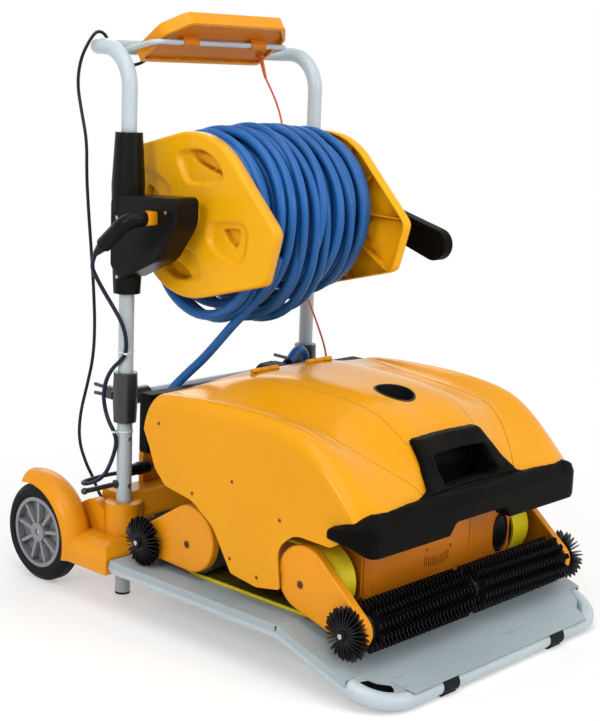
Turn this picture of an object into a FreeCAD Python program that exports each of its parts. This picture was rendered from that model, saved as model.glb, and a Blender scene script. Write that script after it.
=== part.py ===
import FreeCAD, Part
import math
import os
from FreeCAD import Vector

# Pool-cleaning robot parked on its wheeled trolley, with cable reel and power supply.
# Millimetres. +Z is up and -Y is the front of the robot. The model is drawn with X = 0 on the
# robot's middle plane, Y = 0 on the trolley's posts and Z = 0 on the ground, then moved so
# that its origin is the bottom centre of the object without its loose cords.

# ---- Fits ----
running_gap = 0.05          # radial clearance of a turning shaft in its bore
seat_gap = 0.2              # radial clearance of a fixed tube in its socket
seam = 1.0                  # gap between neighbouring body panels

# ---- Trolley tubes ----
tube_r = 17.5
tube_wall = 2.0
post_x = 299.0              # middle of each post from the middle plane
post_top_z = 1250.0         # middle of the push bar
bar_y = 145.0               # push bar behind the posts
handle_bend_r = 88.0
bar_corner_r = 55.0
post_joint_z = 468.0        # where the lower posts meet the upper handle
cross_tube_r = 14.0

# ---- Tray and base frame ----
frame_x = 388.0             # middle of each side tube
frame_z = 103.0             # middle of the level part of the side tubes
frame_back_y = 20.0
kink_y = -600.0             # where the frame begins to fall to the ground
front_y = -865.0
front_z = 20.0
kink_r = 130.0
front_corner_r = 85.0
sheet = 2.5                 # thickness of the tray's plate
tray_back_y = -83.0
tray_front_y = -858.0
flange_height = 13.0
clip_x = 187.0
clip_width = 48.0
clip_wall = 2.5

# ---- Trolley wheels ----
wheel_y = 199.0
wheel_r = 117.5
wheel_width = 50.0
wheel_inner_x = 349.0
rim_r = 84.0
hub_r = 23.0
spoke_count = 9
axle_r = 8.0

# ---- Rear chassis ----
fender_crown_r = 152.0      # mudguard, from the wheel's axis to the top of its crown
fender_edge_r = 125.0
fender_wall = 4.0
fender_overhang = 21.0      # beyond the wheel's outer face
fender_inner_x = 338.0
fender_tip_angle = 77.0     # where the mudguard ends, from +Y towards +Z
boss_r = 43.0
boss_top_z = 222.0
chassis_low_z = 84.0
runner_x = 414.0
runner_front_y = -76.0
runner_top_z = 150.0
beam_z = (128.0, 236.0)
beam_y = (-32.0, 78.0)
back_plate_x = 196.0
back_plate_z = 336.0

# ---- Middle sleeves ----
sleeve_r = 29.0
sleeve_z = (411.0, 526.0)

# ---- Cable reel ----
reel_y = -122.0
reel_z = 890.0
reel_axle_r = 12.0
flange_x = 199.0            # inner face of each flange
flange_tilt = 196.0         # direction of the flange's long middle line, from +Y towards +Z
flange_reach = 267.0        # from the axle to the two corners of each end
flange_end_angle = 13.0     # from the middle line to each of these corners
flange_end_r = 28.0
flange_side = 213.0         # from the axle to where the two long edges would meet
flange_side_r = 183.0
pocket_depth = 9.0
pocket_slope = 12.0         # how far a pocket's wall leans in on its way to the floor
well_slope = 5.0            # the same for the deeper well in each pocket's floor
flange_depth = 30.0
flange_wall = 4.0
drum_r = 95.0
winding_r = 190.0
cable_r = 10.5
turn_count = 9

# ---- Reel brackets ----
bracket_z = (708.0, 1066.0)
bracket_inner_x = 268.0
bracket_outer_x = 334.0
bracket_front_y = -196.0
socket_size = (34.0, 30.0)
socket_out = 26.0

# ---- Crank ----
crank_x = 338.0             # inner face of the crank arm
crank_thick = 34.0
crank_reach = 250.0
crank_angle = 197.0         # from +Y towards +Z
crank_hub_r = 30.0
crank_tip_r = 38.0
grip_r = 10.0
grip_length = 98.0
grip_pivot = 236.0          # from the axle to the hinge of the fold-away grip
grip_room = 1.5             # clearance round the folded grip
grip_pin_r = 3.0

# ---- Power supply ----
supply_low = (96.5, 1219.0)     # y and z of the low edge of its underside
supply_tilt = 146.0             # direction of the underside, from +Y towards +Z
supply_height = 158.0
supply_depth = 30.0
supply_wall = 4.0
supply_rim = 9.0                # width of the rim round the recessed underside
supply_low_x = 194.0
supply_top_x = 150.0
supply_shoulder = 108.0          # height at which the sides begin to lean in
loop_r = 6.0
loop_x = 212.0
loop_y = 17.0
loop_z = 1265.0
loop_bend_r = 20.0
loop_root_drop = 12.0       # the wire meets the push bar this far below its middle
saddle_x = 108.0
saddle_width = 46.0
button_r = 8.0
button_travel = 1.5
gland_place = (168.0, 38.0)     # across and up the underside
button_x = -60.0

# ---- Robot body ----
body_x = 365.0
body_back_y = -139.0
body_length = 655.0
body_wall = 4.0
body_cut_z = 150.0
bumper_z = (268.0, 350.0)
bumper_x = 398.0
bumper_y = -797.0
bumper_end_y = -712.0
bumper_end_top = 335.0
bumper_corner_r = 66.0
bumper_depth = 42.0
outlet_y = -545.0
outlet_r = 42.0
lid_rear_y = -238.0
lid_front_y = -684.0
lid_rear_x = 152.0
lid_front_x = 121.0
tub_x = 256.0
tub_y = (-690.0, -205.0)
tub_z = (138.0, 330.0)

hinge_y = lid_rear_y + 0.5
hinge_z = 546.0
hinge_pin_r = 2.5
knuckle_r = 6.0
swivel_x = 52.0
swivel_exit = (127.0, -107.0, 515.0)

# ---- Cords ----
hook_z = 470.0              # forks on the middle sleeves
hook_tip_y = 106.0
rod_hook_z = 266.0          # round hook on the left lower post
rod_hook_reach = 98.0
lead_d = 9.5
lower_tie = (-324.0, 8.0, 389.0)     # where the lead is tied to the left post
upper_tie = (-317.0, -21.0, 574.0)
boot_bottom = (181.0, 57.0, 1190.0)  # end of the strain relief under the supply
control_d = 5.0
mains_d = 7.5
plug_r = 17.5
connector_r = 14.0

# ---- Drive ----
tray_top_z = frame_z + tube_r + sheet
belt_r = 76.0
belt_wall = 6.0
track_x = (272.0, 330.0)
track_wheel_width = 50.0
rear_hub_y = -279.0
front_hub_y = -616.0
hub_axle_r = 8.0
hub_z = tray_top_z + belt_r
arm_x = (337.0, 357.0)
front_brush = (-760.0, 141.0)
rear_brush = (-154.0, 179.0)
brush_r = 46.0
brush_core_r = 30.0
brush_sleeve_r = 13.0
brush_shaft_r = 5.0
rosette_r = 54.0
rosette_x = (359.0, 388.0)
fin_count = 12
spike_count = 18


# ======== Helpers ========
def box(x, y, z):
    """A box from three (low, high) pairs."""
    low = Vector(x[0], y[0], z[0])
    return Part.makeBox(x[1] - x[0], y[1] - y[0], z[1] - z[0], low)


def rod(radius, start, end):
    """A round bar between two points."""
    start = Vector(*start)
    run = Vector(*end) - start
    return Part.makeCylinder(radius, run.Length, start, run)


def pipe(outer, inner, start, end):
    """A round tube between two points."""
    return rod(outer, start, end).cut(rod(inner, start, end))


def mirrored(shape):
    """The same piece on the other side of the middle plane."""
    return shape.mirror(Vector(0, 0, 0), Vector(1, 0, 0))


def both(shape):
    """A piece and its twin on the other side, as two solids."""
    return Part.makeCompound([shape, mirrored(shape)])


def joined(shapes):
    """Fuse a list of overlapping shapes to one."""
    whole = shapes[0].multiFuse(shapes[1:])
    return whole.removeSplitter()


def rounded_edges(points, radii, closed=False):
    """Straight runs between points, with a tangent arc of the given radius at each corner."""
    points = [Vector(*p) for p in points]
    count = len(points)
    first, last = [], []
    for i, point in enumerate(points):
        radius = radii[i]
        if radius == 0 or (not closed and i in (0, count - 1)):
            first.append(point)
            last.append(point)
            continue
        back = (points[i - 1] - point).normalize()
        ahead = (points[(i + 1) % count] - point).normalize()
        half_turn = (math.pi - back.getAngle(ahead)) / 2
        trim = radius * math.tan(half_turn)
        first.append(point + back * trim)
        last.append(point + ahead * trim)
    edges = []
    for i in range(count):
        if (first[i] - last[i]).Length > 1e-6:
            back = (first[i] - points[i]).normalize()
            ahead = (last[i] - points[i]).normalize()
            half_turn = (math.pi - back.getAngle(ahead)) / 2
            inward = (back + ahead).normalize()
            centre = points[i] + inward * (radii[i] / math.cos(half_turn))
            middle = centre - inward * radii[i]
            edges.append(Part.Arc(first[i], middle, last[i]).toShape())
        ahead_index = (i + 1) % count
        if (closed or i < count - 1) and (first[ahead_index] - last[i]).Length > 1e-6:
            edges.append(Part.LineSegment(last[i], first[ahead_index]).toShape())
    return edges


def side_outline(corners, x):
    """A closed outline in the plane at x, from (y, z, corner radius) triples."""
    points = [(x, y, z) for y, z, r in corners]
    return Part.Wire(rounded_edges(points, [r for y, z, r in corners], closed=True))


def side_prism(corners, x):
    """The (y, z, corner radius) outline extruded between two x values."""
    return Part.Face(side_outline(corners, x[0])).extrude(Vector(x[1] - x[0], 0, 0))


def plan_prism(corners, z):
    """The (x, y, corner radius) outline extruded between two heights."""
    points = [(x, y, z[0]) for x, y, r in corners]
    wire = Part.Wire(rounded_edges(points, [r for x, y, r in corners], closed=True))
    return Part.Face(wire).extrude(Vector(0, 0, z[1] - z[0]))


def front_prism(corners, y):
    """The (x, z, corner radius) outline extruded between two y values."""
    points = [(x, y[0], z) for x, z, r in corners]
    wire = Part.Wire(rounded_edges(points, [r for x, z, r in corners], closed=True))
    return Part.Face(wire).extrude(Vector(0, y[1] - y[0], 0))


def turned(profile, y, z):
    """A solid of revolution about the X direction through y, z, from (x, radius) pairs."""
    points = [Vector(x, y, z + r) for x, r in profile]
    face = Part.Face(Part.makePolygon(points + [points[0]]))
    return face.revolve(Vector(0, y, z), Vector(1, 0, 0), 360)


def swept(edges, radius, inner=0.0):
    """A round section, hollow if an inner radius is given, carried along a chain of edges."""
    path = Part.Wire(edges)
    start = edges[0].valueAt(edges[0].FirstParameter)
    run = edges[0].tangentAt(edges[0].FirstParameter)
    if (path.Vertexes[0].Point - start).Length > 1e-6:
        start = edges[0].valueAt(edges[0].LastParameter)
        run = run * -1
    outside = path.makePipe(Part.Face(Part.Wire(Part.makeCircle(radius, start, run))))
    if inner == 0:
        return outside
    inside = path.makePipe(Part.Face(Part.Wire(Part.makeCircle(inner, start, run))))
    return outside.cut(inside)


def cord(points, diameter, name):
    """A cord's plain tube: each corner's arc is as large as its two runs allow."""
    spots = [Vector(*p) for p in points]
    radii = [0.0]
    for i in range(1, len(spots) - 1):
        back = spots[i - 1] - spots[i]
        ahead = spots[i + 1] - spots[i]
        half_turn = (math.pi - back.getAngle(ahead)) / 2
        radii.append(0.45 * min(back.Length, ahead.Length) / math.tan(half_turn))
    radii.append(0.0)
    edges = rounded_edges(points, radii)
    length = sum(edge.Length for edge in edges)
    solid = swept(edges, diameter / 2)
    exact = math.pi * diameter ** 2 / 4 * length
    print(name, "length", round(length), "tightest", round(min(radii[1:-1])),
          "volume ratio", round(solid.Volume / exact, 4))
    return solid


# ======== Trolley ========
def frame_height(y):
    """Middle height of the frame's side tubes at y."""
    if y >= kink_y:
        return frame_z
    return frame_z + (kink_y - y) * (front_z - frame_z) / (kink_y - front_y)


frame_fall = math.atan((frame_z - front_z) / (kink_y - front_y))


def make_base_frame():
    points = [(-frame_x, frame_back_y, frame_z), (-frame_x, kink_y, frame_z),
              (-frame_x, front_y, front_z), (frame_x, front_y, front_z),
              (frame_x, kink_y, frame_z), (frame_x, frame_back_y, frame_z)]
    radii = [0, kink_r, front_corner_r, front_corner_r, kink_r, 0]
    return swept(rounded_edges(points, radii), tube_r, tube_r - tube_wall)


def tray_outline(lift, thick):
    """Side profile of the plate, a given lift above the tube's crown."""
    rise = tube_r + lift
    lean = rise * math.tan(frame_fall / 2)
    drop = math.cos(frame_fall)
    fall = math.sin(frame_fall)
    front = (tray_front_y - fall * rise, frame_height(tray_front_y) + drop * rise)
    front_top = (front[0] - fall * thick, front[1] + drop * thick)
    turn = thick * math.tan(frame_fall / 2)
    return [(tray_back_y, frame_z + rise, 0), (tray_back_y, frame_z + rise + thick, 0),
            (kink_y - lean - turn, frame_z + rise + thick, 0), (front_top[0], front_top[1], 0),
            (front[0], front[1], 0), (kink_y - lean, frame_z + rise, 0)]


def make_tray():
    half = frame_x + tube_r + seat_gap + sheet
    plate = side_prism(tray_outline(0, sheet), (-half, half))
    flange = side_prism(tray_outline(-flange_height, flange_height + sheet), (half - sheet, half))
    flange = flange.cut(box((half - 20, half + 1), (kink_y - 4, kink_y + 2), (0, frame_z + tube_r)))
    back_lip = box((-half, half), (tray_back_y - sheet, tray_back_y),
                   (frame_z + tube_r - flange_height, frame_z + tube_r + sheet))
    lip_room = half - sheet - tube_r * 2 - 2
    back_lip = back_lip.common(box((-lip_room, lip_room), (-200, 0), (0, 200)))
    corner = [(half + 5, -790, 0), (half - 38, -790, 6), (half - 56, -822, 30), (half - 84, -842, 30),
              (half - 118, -848, 12), (half - 150, -900, 0), (half + 5, -900, 0)]
    cutter = plan_prism(corner, (0, 200))
    tray = joined([plate, flange, mirrored(flange), back_lip])
    return tray.cut(cutter).cut(mirrored(cutter))


def make_rubber_feet():
    outer = tube_r + clip_wall
    clip = []
    for side in (-1, 1):
        x = (side * clip_x - clip_width / 2, side * clip_x + clip_width / 2)
        ring = rod(outer, (x[0], front_y, front_z), (x[1], front_y, front_z))
        heel = box(x, (front_y - 10, front_y + 10), (0, front_z))
        piece = ring.fuse(heel).cut(rod(tube_r, (x[0], front_y, front_z), (x[1], front_y, front_z)))
        tongue = box(x, (front_y, front_y + 26), (front_z + tube_r, front_z + tube_r + 20))
        piece = piece.fuse(tongue.common(side_prism(tray_outline(sheet, 3), x)))
        clip.append(piece.cut(side_prism(tray_outline(0, sheet), x)).Solids[0])
    cap = rod(tube_r, (-post_x, 0, 0), (-post_x, 0, 5))
    cap = cap.fuse(rod(tube_r - tube_wall, (-post_x, 0, 4), (-post_x, 0, 22)))
    return Part.makeCompound(clip + [cap, mirrored(cap)])


def make_lower_posts():
    post = pipe(tube_r, tube_r - tube_wall, (-post_x, 0, 5), (-post_x, 0, post_joint_z))
    return both(post)


def make_upper_handle():
    points = [(-post_x, 0, post_joint_z), (-post_x, 0, post_top_z), (-post_x, bar_y, post_top_z),
              (post_x, bar_y, post_top_z), (post_x, 0, post_top_z), (post_x, 0, post_joint_z)]
    radii = [0, handle_bend_r, bar_corner_r, bar_corner_r, handle_bend_r, 0]
    return swept(rounded_edges(points, radii), tube_r, tube_r - tube_wall)


def make_mid_sleeves():
    low, high = sleeve_z
    middle = (low + high) / 2
    body = Part.makeCone(sleeve_r - 3, sleeve_r, middle - low, Vector(-post_x, 0, low))
    top = Part.makeCone(sleeve_r, sleeve_r - 2, high - middle, Vector(-post_x, 0, middle))
    socket = rod(cross_tube_r + 6, (-post_x, 0, post_joint_z), (-post_x + 64, 0, post_joint_z))
    sleeve = joined([body, top, socket])
    bore = rod(tube_r + seat_gap, (-post_x, 0, low - 1), (-post_x, 0, high + 1))
    cross_bore = rod(cross_tube_r + seat_gap, (-post_x, 0, post_joint_z),
                     (-post_x + 65, 0, post_joint_z))
    return both(sleeve.cut(bore).cut(cross_bore))


def make_cross_tube():
    end = post_x - tube_r - seat_gap - 1
    return pipe(cross_tube_r, cross_tube_r - tube_wall, (-end, 0, post_joint_z),
                (end, 0, post_joint_z))


def make_cord_hooks():
    """A fork behind each middle sleeve, and a round hook on the left lower post."""
    saddle = rod(sleeve_r + 3, (-post_x, 0, hook_z - 9), (-post_x, 0, hook_z + 9))
    saddle = saddle.common(box((-post_x - 40, -post_x + 40), (cross_tube_r + 7, 60), (400, 540)))
    stem = box((-post_x - 7, -post_x + 7), (sleeve_r - 3, sleeve_r + 34), (hook_z - 14, hook_z + 14))
    fork = [saddle, stem]
    for side in (-1, 1):
        root = (-post_x, sleeve_r + 32, hook_z + side * 8.5)
        tip = (-post_x, hook_tip_y, hook_z + side * 10)
        fork = fork + [rod(4.5, root, tip), Part.makeSphere(4.5, Vector(*tip))]
    fork = joined(fork).cut(rod(sleeve_r, (-post_x, 0, hook_z - 20), (-post_x, 0, hook_z + 20)))
    root = (-post_x - tube_r + 4, 7, rod_hook_z - 2)
    collar_end = (-post_x - tube_r - 4, 8, rod_hook_z - 2.3)
    tip = (-post_x - rod_hook_reach, 22, rod_hook_z - 8)
    hook = joined([rod(10, root, collar_end), rod(6, root, tip), Part.makeSphere(8, Vector(*tip))])
    hook = hook.cut(rod(tube_r, (-post_x, 0, 200), (-post_x, 0, 320)))
    return Part.makeCompound([fork, mirrored(fork), hook])


def make_fender():
    """The left mudguard: a crowned band about the wheel's axis, from its rear tip down to the front."""
    outer_x = wheel_inner_x + wheel_width + fender_overhang
    middle_x = (outer_x + fender_inner_x) / 2
    z = wheel_r
    arcs = []
    ends = []
    for inset in (0, fender_wall):
        left_end = Vector(-outer_x + inset, wheel_y, z + fender_edge_r)
        right_end = Vector(-fender_inner_x - inset, wheel_y, z + fender_edge_r)
        crown = Vector(-middle_x, wheel_y, z + fender_crown_r - inset)
        arcs.append(Part.Arc(left_end, crown, right_end).toShape())
        ends.append((left_end, right_end))
    outline = arcs + [Part.LineSegment(ends[0][i], ends[1][i]).toShape() for i in (0, 1)]
    ring = Part.Face(Part.Wire(Part.sortEdges(outline)[0]))
    ring = ring.revolve(Vector(0, wheel_y, z), Vector(1, 0, 0), 360)
    tip = math.radians(fender_tip_angle)
    far = 2 * fender_crown_r
    wedge = [(wheel_y, z, 0), (wheel_y + far * math.cos(tip), z + far * math.sin(tip), 0),
             (wheel_y - far, z + far, 0), (wheel_y - far, chassis_low_z, 0), (wheel_y, chassis_low_z, 0)]
    return ring.common(side_prism(wedge, (-outer_x - 5, -fender_inner_x + 5)))


def make_runner():
    """The foot of the chassis that takes the left side tube of the frame."""
    low, top = chassis_low_z, runner_top_z
    across = front_prism([(-runner_x, low, 5), (-runner_x, top - 14, 34), (-frame_x + 14, top, 40),
                          (-post_x, top, 0), (-post_x, low, 0)], (runner_front_y, 66))
    along = side_prism([(66, low, 0), (runner_front_y, low, 8), (runner_front_y - 2, low + 40, 24),
                        (runner_front_y + 34, top + 4, 40), (66, top + 26, 0)], (-runner_x, -post_x))
    return across.common(along)


def make_beam():
    """The ribbed beam between the posts, open below."""
    low, top = beam_z
    front, back = beam_y
    slant, drop, rib = 36, 46, 8
    outside = side_prism([(front, low, 8), (back, low, 8), (back, top, 12), (front + slant, top, 18),
                          (front, top - drop, 14)], (-post_x, post_x))
    bay_outline = [(front + rib, low - 1, 0), (back - rib, low - 1, 0), (back - rib, top - rib, 6),
                   (front + slant + 4, top - rib, 6), (front + rib, top - drop - rib, 6)]
    bay = (post_x - boss_r - 14) / 3
    bays = [side_prism(bay_outline, (i * bay + 3, (i + 1) * bay - 3)) for i in range(-3, 3)]
    plate = front_prism([(-back_plate_x, low + 40, 0), (back_plate_x, low + 40, 0),
                         (back_plate_x, back_plate_z, 34), (-back_plate_x, back_plate_z, 34)],
                        (back - 26, back - 10))
    return joined([outside.cut(Part.makeCompound(bays)), plate])


def make_rear_chassis():
    web_x = (-wheel_inner_x + 9, -fender_inner_x + 26)
    web = side_prism([(20, 92, 0), (wheel_y + 6, wheel_r - 26, 20), (wheel_y + 26, wheel_r + 8, 20),
                      (wheel_y - 10, wheel_r + 40, 30), (60, 226, 40), (20, 200, 0)], web_x)
    boss = Part.makeCone(boss_r + 5, boss_r, boss_top_z - chassis_low_z - 8,
                         Vector(-post_x, 0, chassis_low_z + 8))
    half = joined([make_fender(), web, boss, make_runner()])
    chassis = joined([half, mirrored(half), make_beam()])
    for side in (-1, 1):
        chassis = chassis.cut(rod(tube_r + seat_gap, (side * post_x, 0, 0), (side * post_x, 0, 300)))
        chassis = chassis.cut(rod(tube_r + seat_gap, (side * frame_x, frame_back_y, frame_z),
                                  (side * frame_x, runner_front_y - 30, frame_z)))
    axle_hole = rod(axle_r + seat_gap, (-500, wheel_y, wheel_r), (500, wheel_y, wheel_r))
    return chassis.cut(axle_hole)


def make_wheel_axle():
    end = wheel_inner_x + wheel_width - 6
    shaft = rod(axle_r, (-end, wheel_y, wheel_r), (end, wheel_y, wheel_r))
    parts = [shaft]
    for side in (-1, 1):
        spacer = pipe(axle_r + 5, axle_r, (side * (wheel_inner_x - 8.7), wheel_y, wheel_r),
                      (side * (wheel_inner_x - 0.3), wheel_y, wheel_r))
        parts.append(spacer)
    return joined(parts)


def make_tyre():
    x = (-wheel_inner_x - wheel_width, -wheel_inner_x)
    profile = [(x[0] + 6, rim_r), (x[0], rim_r + 6), (x[0], wheel_r - 14), (x[0] + 10, wheel_r - 2),
               (x[0] + 14, wheel_r), (x[1] - 14, wheel_r), (x[1] - 10, wheel_r - 2),
               (x[1], wheel_r - 14), (x[1], rim_r + 6), (x[1] - 6, rim_r)]
    return turned(profile, wheel_y, wheel_r)


def make_rim():
    x = (-wheel_inner_x - wheel_width, -wheel_inner_x)
    outer = x[0] + 3
    ring = turned([(outer, rim_r - 9), (outer, rim_r), (x[1] - 6, rim_r), (x[1] - 6, rim_r - 5),
                   (outer + 12, rim_r - 5)], wheel_y, wheel_r)
    hub = pipe(hub_r, axle_r + running_gap, (outer, wheel_y, wheel_r), (x[1], wheel_y, wheel_r))
    disc = pipe(rim_r - 4, hub_r - 2, (outer + 20, wheel_y, wheel_r), (outer + 25, wheel_y, wheel_r))
    parts = [ring, hub, disc]
    spoke = box((outer + 3, outer + 22), (wheel_y - 4, wheel_y + 4),
                (wheel_r + hub_r - 2, wheel_r + rim_r - 4))
    for i in range(spoke_count):
        turn = spoke.copy()
        turn.rotate(Vector(0, wheel_y, wheel_r), Vector(1, 0, 0), i * 360 / spoke_count)
        parts.append(turn)
    return joined(parts)


# ======== Reel ========
def around_reel(angle, radius):
    """A point in the reel's plane, as (y, z)."""
    a = math.radians(angle)
    return (reel_y + radius * math.cos(a), reel_z + radius * math.sin(a))


def flange_corners(inset):
    """The flange's six-sided outline, drawn in by an inset."""
    corners = []
    for half in (0, 180):
        for angle in (-flange_end_angle, flange_end_angle):
            y, z = around_reel(flange_tilt + half + angle, flange_reach - inset)
            corners.append((y, z, flange_end_r - inset / 2))
        apothem = flange_side_r - inset
        y, z = around_reel(flange_tilt + half + 90, flange_side * apothem / flange_side_r)
        corners.append((y, z, apothem))
    return corners


# Pockets in the flange's face, as (angle about the axle, radius, corner radius). Each has a
# deeper well in its floor, and each is repeated half a turn away.
side_pocket = [(68, 150, 12), (104, 176, 90), (140, 150, 12), (117, 65, 12)]
side_well = [(90, 146, 6), (113, 158, 60), (136, 146, 6), (131, 121, 6), (93, 118, 6)]
end_pocket = [(206, 55, 10), (180, 78, 14), (177, 175, 14), (184, 191, 8), (208, 196, 12),
              (214, 179, 12), (224, 103, 14)]
end_well = [(189, 100, 6), (185, 155, 6), (201, 157, 6)]


def pocket_outline(corners, half, grow):
    """A pocket's outline as (y, z, corner radius), grown all round, turned by half a turn or not."""
    spots = [around_reel(angle + half, radius) for angle, radius, soft in corners]
    middle = [sum(spot[i] for spot in spots) / len(spots) for i in (0, 1)]
    outline = []
    for (y, z), (angle, radius, soft) in zip(spots, corners):
        reach = math.hypot(y - middle[0], z - middle[1])
        share = (reach + grow) / reach
        outline.append((middle[0] + (y - middle[0]) * share, middle[1] + (z - middle[1]) * share,
                        max(soft + grow / 2, 1.5)))
    return outline


def pocket(corners, half, grow, x, slope=0.0):
    """A pocket's form between two depths, drawn in by the slope on its way from the face."""
    mouth = side_outline(pocket_outline(corners, half, grow), x[0])
    floor = side_outline(pocket_outline(corners, half, grow - slope), x[1])
    return Part.makeLoft([mouth, floor], True, True)


def make_reel_flanges():
    """Two moulded flanges, open towards the winding, with pockets, ribs and a hub."""
    x = (-flange_x - flange_depth, -flange_x)
    face_x = x[0] + 3
    shell = side_prism(flange_corners(0), x)
    shell = shell.cut(side_prism(flange_corners(14), (x[0] - 1, face_x)))
    shell = shell.cut(side_prism(flange_corners(flange_wall), (face_x + flange_wall, x[1] + 1)))
    parts = [shell, rod(34, (x[0] - 6, reel_y, reel_z), (x[1], reel_y, reel_z))]
    for i in range(12):
        rib = box((face_x + 1, x[1] - 2), (reel_y + 30, reel_y + flange_side_r - 2),
                  (reel_z - 1.5, reel_z + 1.5))
        rib.rotate(Vector(0, reel_y, reel_z), Vector(1, 0, 0), flange_tilt + i * 30 + 15)
        parts.append(rib)
    floor_x = face_x + pocket_depth
    well_x = x[1] - flange_wall
    for corners, well in ((side_pocket, side_well), (end_pocket, end_well)):
        for half in (0, 180):
            parts.append(pocket(corners, half, pocket_slope / 2 + flange_wall,
                                (face_x, floor_x + flange_wall), pocket_slope))
            parts.append(pocket(well, half, flange_wall, (floor_x, x[1] - 0.5), well_slope))
    flange = joined(parts)
    for corners, well in ((side_pocket, side_well), (end_pocket, end_well)):
        for half in (0, 180):
            flange = flange.cut(pocket(corners, half, pocket_slope / 2, (face_x, floor_x), pocket_slope))
            flange = flange.cut(pocket(well, half, 0, (floor_x - 0.01, well_x), well_slope))
    flange = flange.cut(rod(reel_axle_r + seat_gap, (x[0] - 20, reel_y, reel_z),
                            (x[1] + 20, reel_y, reel_z)))
    return both(max(flange.Solids, key=lambda s: s.Volume))


def make_reel_drum():
    drum = pipe(drum_r, drum_r - 4, (-flange_x, reel_y, reel_z), (flange_x, reel_y, reel_z))
    webs = []
    for x in (-flange_x, flange_x - 6):
        webs.append(pipe(drum_r - 3, reel_axle_r - 1, (x, reel_y, reel_z), (x + 6, reel_y, reel_z)))
    axle = rod(reel_axle_r, (-bracket_outer_x + 8, reel_y, reel_z), (crank_x + crank_thick, reel_y, reel_z))
    return joined([drum, axle] + webs)


def make_cable_winding():
    start = -flange_x + 9
    end = flange_x - 9
    pitch = (end - start) / turn_count
    edges = []
    points = [Vector(start, reel_y, reel_z + drum_r + 0.2)]
    for i in range(turn_count + 1):
        lift = winding_r - cable_r + 11 * math.sin(math.pi * i / turn_count)
        points.append(Vector(start + i * pitch, reel_y, reel_z + lift))
    points.append(Vector(end, reel_y, reel_z + drum_r + 0.2))
    edges.append(Part.LineSegment(points[0], points[1]).toShape())
    for i in range(1, turn_count + 1):
        middle = (points[i] + points[i + 1]) * 0.5 + Vector(0, 0, cable_r)
        edges.append(Part.Arc(points[i], middle, points[i + 1]).toShape())
    edges.append(Part.LineSegment(points[-2], points[-1]).toShape())
    edges.append(Part.LineSegment(points[-1], points[0]).toShape())
    turns = Part.Face(Part.Wire(edges)).revolve(Vector(0, reel_y, reel_z), Vector(1, 0, 0), 360)
    loops = []
    for x, drop, shift, size in ((-34, 62, -14, 190), (24, 44, -22, 192), (-96, 38, 16, 190)):
        loops.append(Part.makeTorus(size, cable_r, Vector(x, reel_y + shift, reel_z - drop),
                                    Vector(1, 0, 0)))
    below = box((-flange_x, flange_x), (reel_y - 400, reel_y + 400), (reel_z - 400, reel_z - 20))
    loops = [loop.common(below) for loop in loops]
    return joined([turns] + loops)


def make_reel_brackets():
    low, high = bracket_z
    arm_low = 800.0
    sections = [(low, 30.5), (low + 62, 33.5), (reel_z + 60, 37.5), (high, 30.5)]
    parts = []
    for (z0, r0), (z1, r1) in zip(sections[:-1], sections[1:]):
        parts.append(Part.makeCone(r0, r1, z1 - z0, Vector(-post_x, 0, z0)))
    arm = side_prism([(20, reel_z + 38, 20), (bracket_front_y, reel_z + 48, 14),
                      (bracket_front_y, reel_z - 12, 60), (bracket_front_y + 62, arm_low - 4, 60),
                      (-20, low + 36, 20), (20, low + 60, 20)], (-bracket_outer_x, -bracket_inner_x))
    arm = arm.makeFillet(5, [e for e in arm.Edges if abs(e.BoundBox.XMin + bracket_outer_x) < 0.01
                             and abs(e.BoundBox.XMax + bracket_outer_x) < 0.01])
    bracket = joined(parts + [arm])
    bracket = bracket.cut(rod(tube_r + seat_gap, (-post_x, 0, low - 1), (-post_x, 0, high + 1)))
    axle_bore = rod(reel_axle_r + running_gap, (-bracket_outer_x - 1, reel_y, reel_z),
                    (-bracket_inner_x + 1, reel_y, reel_z))
    return both(bracket.cut(axle_bore))


def make_reel_socket():
    wide, tall = socket_size
    x = (-bracket_outer_x - socket_out, -bracket_outer_x)
    low, high = reel_z - tall / 2, reel_z + tall / 2
    front, back = reel_y - wide / 2, reel_y + wide / 2
    block = side_prism([(front, low, 6), (back, low, 6), (back, high, 6), (front, high, 6)], x)
    return block.cut(rod(9 + seat_gap, (x[0] - 1, reel_y, reel_z), (x[0] + 10.5, reel_y, reel_z)))


def along_crank(reach, x):
    """A point on the crank's middle line at a distance from the axle."""
    y, z = around_reel(crank_angle, reach)
    return (x, y, z)


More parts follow.
